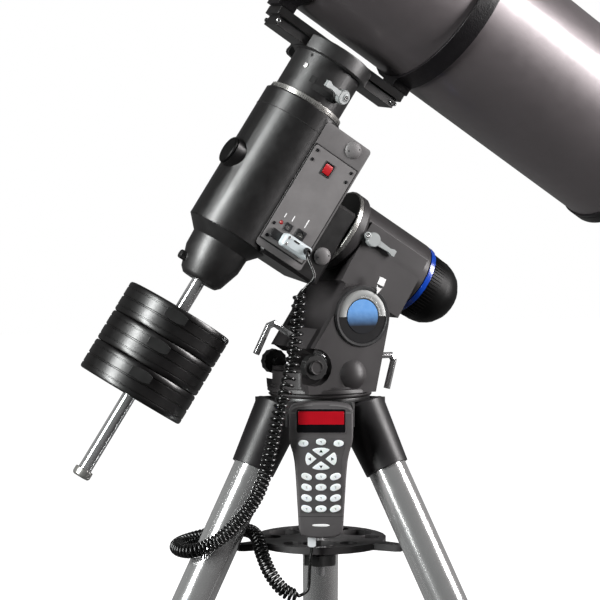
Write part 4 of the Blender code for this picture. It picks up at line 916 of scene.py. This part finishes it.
def make_dial():
    """The latitude dial on the fork's cheek: rim, grey scale with ticks, blue disc, and the pointer."""
    at = BASE @ axes(LATITUDE_PIVOT - EAST * CHEEK_OUT, (1, 0, 0), (0, 0, 1), (0, -1, 0))
    node = "mount_base"
    MATERIAL["dial"] = dial_blue("dial_face", at.translation, DISC_R)
    inner = DIAL_R - 0.0030
    profile = [(inner, 0.0012), (DIAL_R - 0.0022, 0.0024), (DIAL_R + 0.0004, 0.0026),
               (DIAL_R + 0.0016, 0.0018), (DIAL_R + 0.0020, 0.0), (inner, 0.0)]
    lathe("dial_rim", profile, at, 128, "rim", node, True)
    profile = [(SCALE_IN, 0.0011), (SCALE_IN + 0.0006, 0.0014), (DIAL_R - 0.0036, 0.0014), (inner, 0.0010),
               (inner, -0.0002), (SCALE_IN, -0.0002)]
    trim("dial_scale", sector("dial_scale", profile, at, 0, 180, 72), "scale", node)
    profile = [(0, 0.0009), (DIAL_R - 0.0034, 0.0009), (inner, 0.0006), (inner, 0.0)]
    lathe("dial_ground", profile, at, 96, "print", node)
    profile = [(0, 0.0015), (DISC_R - 0.0003, 0.0015), (DISC_R, 0.0012), (DISC_R, 0.0)]
    lathe("dial_face", profile, at, 96, "dial", node)
    for k in range(24):
        long = 0.0034 if k % 5 == 0 else 0.0018
        place = at @ turn(2 + k * 4, "Z") @ shift(0.0246 + long / 2, 0, 0.0015)
        bar = [rectangle(-long / 2, -0.0002, long / 2, 0.0002, 0.0001, 3)]
        flat(f"dial_tick_{k}", bar, 0.0003, place, 0.00008, "white", node)
    place = at @ shift(0.0262, 0.0440, 0.0036) @ turn(-23.4, "Z")
    arrow = [(-0.0040, 0.0), (0.0040, 0.0), (0.0040, -0.0070), (0.0005, -0.0160), (-0.0005, -0.0160),
             (-0.0040, -0.0070)]
    flat("latitude_pointer", [arrow], 0.0008, place, 0.0002, "white", "ra_body")
    place = place @ shift(0, 0, 0.0003)
    tag = [rectangle(-0.0048, -0.0040, 0.0048, 0.0062, 0.0004)]
    flat("pointer_tag", tag, 0.0010, place, 0.0002, "white", "ra_body")
    collar = [(-0.0046, -0.0040), (0.0046, -0.0040), (0.0030, -0.0072), (-0.0030, -0.0072)]
    flat("pointer_collar", [collar], 0.0010, place, 0.0002, "rim", "ra_body")


make_dial()


# ------------------------------------------------------------------ hand controller
def on_hand(lift):
    """A frame on the controller's face, lift above it: x to its right, y up its length."""
    return HAND @ shift(0, 0, lift)


def mirrored(half):
    """A half outline from top to bottom, closed with its mirror image in local Y."""
    return half + [(-x, y) for x, y in reversed(half)]


def turned_about(points, centre, a):
    """Points turned by a about local Z and moved to centre."""
    cos, sin = math.cos(a), math.sin(a)
    return [(centre[0] + u * cos - v * sin, centre[1] + u * sin + v * cos) for u, v in points]


KEY_ROWS = 4
KEY_ACROSS = 0.0183
KEY_DOWN = 0.01365
ARROW_CENTRE = (0.0, -0.0714)


def make_arrow_keys():
    """Four petals round a centre: the upright pair is short and wide, the level pair long and narrow."""
    for i in range(4):
        start, deep, wide = (0.0030, 0.0112, 0.0107) if i % 2 else (0.0056, 0.0142, 0.0080)
        waist = start + deep * 0.62
        corner = math.radians(62)
        outline = [(start, 0.0)]
        outline += [(start + deep * 0.55, wide * 0.82), (start + deep * 0.70, wide * 0.98)]
        for k in range(9):
            b = corner * (1 - k / 4)
            outline.append((waist + deep * 0.38 * math.cos(b), wide * math.sin(b) / math.sin(corner)))
        outline += [(start + deep * 0.70, -wide * 0.98), (start + deep * 0.55, -wide * 0.82)]
        a = math.radians(90 * i)
        petal = turned_about(outline, ARROW_CENTRE, a)
        name = f"arrow_key_{i}"
        trim(name, plate(name, [petal], 0.0030, on_hand(0.0002), 0.0008, 4), "key", "keypad", 50.0)
        mark = [(waist + 0.0021, 0.0), (waist - 0.0016, 0.0022), (waist - 0.0016, -0.0022)]
        mark = turned_about(mark, ARROW_CENTRE, a)
        flat(f"arrow_mark_{i}", [mark], 0.0003, on_hand(0.0017), 0.00008, "print", "keypad")


def make_controller():
    half = [(0.0, 0.0), (0.0110, -0.0002), (0.0210, -0.0009), (0.0300, -0.0022), (0.0348, -0.0036)]
    half += [(0.0382, -0.0060), (0.0402, -0.0100), (0.0408, -0.0150), (0.0408, -0.0430)]
    half += [(0.0402, -0.0490), (0.0386, -0.0556), (0.0360, -0.0640), (0.0340, -0.0740)]
    half += [(0.0328, -0.0860), (0.0318, -0.1000), (0.0304, -0.1250), (0.0292, -0.1450)]
    half += [(0.0284, -0.1600), (0.0272, -0.1652), (0.0240, -0.1695), (0.0160, -0.1722), (0.0, -0.1735)]
    loop = half + [(-x, y) for x, y in reversed(half[1:-1])]
    case = plate("controller_case", [loop], HAND_THICK, on_hand(-HAND_THICK / 2), 0.0034, 5)
    node = "hand_controller"
    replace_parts(trim("controller_case", case, "case", node, 40.0), node)
    window = rectangle(-0.0310, -0.0382, 0.0310, -0.0085, 0.0022, 6)
    flat("window", [window], 0.0012, on_hand(0.0002), 0.0003, "glass", node)
    lit = rectangle(-0.0288, -0.0277, 0.0292, -0.0111, 0.0006)
    flat("display", [lit], 0.0006, on_hand(0.0008), 0.0001, "display", node)
    rim = [rectangle(-0.0322, -0.0394, 0.0322, -0.0073, 0.0030, 6), window]
    flat("window_rim", rim, 0.0014, on_hand(0.0001), 0.0004, "case", node)
    sheet = mirrored([(0.0300, -0.0440), (0.0304, -0.0540), (0.0262, -0.0700), (0.0262, -0.1405)])
    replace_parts(flat("key_sheet", [sheet], 0.0016, on_hand(-0.0003), 0.0003, "pad", "keypad"), "keypad")
    keys = [(x, y, 0.0064, 0.0) for x, y in ((-0.0223, -0.0517), (0.0, -0.0498), (0.0223, -0.0517))]
    for row in range(KEY_ROWS):
        y = -0.0940 - KEY_DOWN * row
        keys += [(column * KEY_ACROSS, y, 0.0070, column * 0.33) for column in (-1, 0, 1)]
    for i, (x, y, half_wide, tilt) in enumerate(keys):
        name = f"key_{i:02d}"
        loop = oval(x, y, half_wide, 0.0043, tilt, 40, 0.92)
        trim(name, plate(name, [loop], 0.0030, on_hand(0.0002), 0.0009, 4), "key", "keypad", 50.0)
    make_arrow_keys()
    seam = [rectangle(-0.0286, -0.1452, 0.0286, -0.1447, 0.0002, 3)]
    flat("case_seam", seam, 0.0004, on_hand(0.0001), 0.0001, "inside", node)
    tag = [oval(0, -0.1562, 0.0110, 0.0016, 0.0, 40, 0.8)]
    flat("case_tag", tag, 0.0004, on_hand(0.0002), 0.0001, "white", node)
    arc = [(x, y - 0.0022) for x, y in half[1:7]]
    inner = mirrored([(x * 0.965, y - 0.0016) for x, y in arc])
    loop = mirrored(arc) + list(reversed(inner))
    flat("case_bezel", [loop], 0.0006, on_hand(0.0002), 0.0001, "box", node)
    for i, (x, y, half_wide, tilt) in enumerate(keys):
        for j, (dx, dy, wide) in enumerate(((0.0, 0.0007, 0.0011), (0.0003, -0.0008, 0.0006))):
            bar = [rectangle(x + dx - wide, y + dy - 0.0003, x + dx + wide, y + dy + 0.0003, 0.0001, 3)]
            flat(f"key_mark_{i:02d}_{j}", bar, 0.0002, on_hand(0.00172), 0.00005, "print", "keypad")


make_controller()


# ------------------------------------------------------------------ floor, light, finish
def area_light(name, place, target, size, power, colour=(1, 1, 1), tall=None):
    data = bpy.data.lights.new(name, "AREA")
    data.shape = "RECTANGLE" if tall else "SQUARE"
    data.size = size
    if tall:
        data.size_y = tall
    data.energy = power
    data.color = colour
    light = bpy.data.objects.new(name, data)
    bpy.context.scene.collection.objects.link(light)
    light.location = place
    light.rotation_mode = "QUATERNION"
    light.rotation_quaternion = (Vector(target) - Vector(place)).to_track_quat("-Z", "Y")


def make_floor():
    """A white floor that sends no light up to the object and doesn't show in its gloss."""
    n = Nodes("floor_white")
    shade = n.mix(n.span(n.noise(1.5, 2.0), 0.0, 1.0), (0.90, 0.90, 0.90), (0.92, 0.92, 0.92))
    material = n.finish(shade, 0.85, Emission_Color=(1.0, 1.0, 1.0, 1.0), Emission_Strength=1.0)
    mesh = bpy.data.meshes.new("floor")
    size, level = 14.0, CAD_BOX[0].z - 0.0005
    mesh.from_pydata([(-size, -size, level), (size, -size, level), (size, size, level),
                      (-size, size, level)], [], [(0, 1, 2, 3)])
    mesh.materials.append(material)
    floor = bpy.data.objects.new("floor", mesh)
    bpy.context.scene.collection.objects.link(floor)
    floor.visible_diffuse = False
    floor.visible_glossy = False


def make_world():
    """A white backdrop. Its light on the object is dim, and a little stronger from behind it."""
    world = bpy.data.worlds.new("studio")
    world.use_nodes = True
    tree = world.node_tree
    back = tree.nodes["Background"]
    ray = tree.nodes.new("ShaderNodeLightPath")
    where = tree.nodes.new("ShaderNodeTexCoord")
    along = tree.nodes.new("ShaderNodeVectorMath")
    along.operation = "DOT_PRODUCT"
    along.inputs[1].default_value = Vector((CAMERA_LOOKS.x, CAMERA_LOOKS.y, -0.35)).normalized()
    room = tree.nodes.new("ShaderNodeMapRange")
    for name, value in (("From Min", 0.05), ("From Max", 0.95), ("To Min", 0.02), ("To Max", 0.15)):
        room.inputs[name].default_value = value
    plain = tree.nodes.new("ShaderNodeMath")
    plain.operation = "MAXIMUM"
    tree.links.new(where.outputs["Generated"], along.inputs[0])
    tree.links.new(along.outputs["Value"], room.inputs["Value"])
    tree.links.new(room.outputs["Result"], plain.inputs[0])
    tree.links.new(ray.outputs["Is Camera Ray"], plain.inputs[1])
    tree.links.new(plain.outputs["Value"], back.inputs["Strength"])
    back.inputs["Color"].default_value = (1, 1, 1, 1)
    bpy.context.scene.world = world
    bpy.context.scene.view_settings.view_transform = "Standard"


def make_lights():
    target = MOUNT + Vector((0, 0, 0.15))
    look = Vector((CAMERA_LOOKS.x, CAMERA_LOOKS.y, 0)).normalized()
    across = look.cross(UP)
    area_light("key_left", target - look * 1.9 - across * 2.1 + UP * 0.9, target, 0.7, 140.0,
               (0.98, 1.0, 0.99), 2.4)
    area_light("key_right", target - look * 0.35 + across * 2.7 + UP * 0.6, target, 0.9, 120.0,
               (1.0, 0.97, 0.97), 2.2)
    area_light("top", target - look * 0.2 + across * 0.8 + UP * 2.7, target, 1.3, 11.0)


make_floor()
make_world()
make_lights()
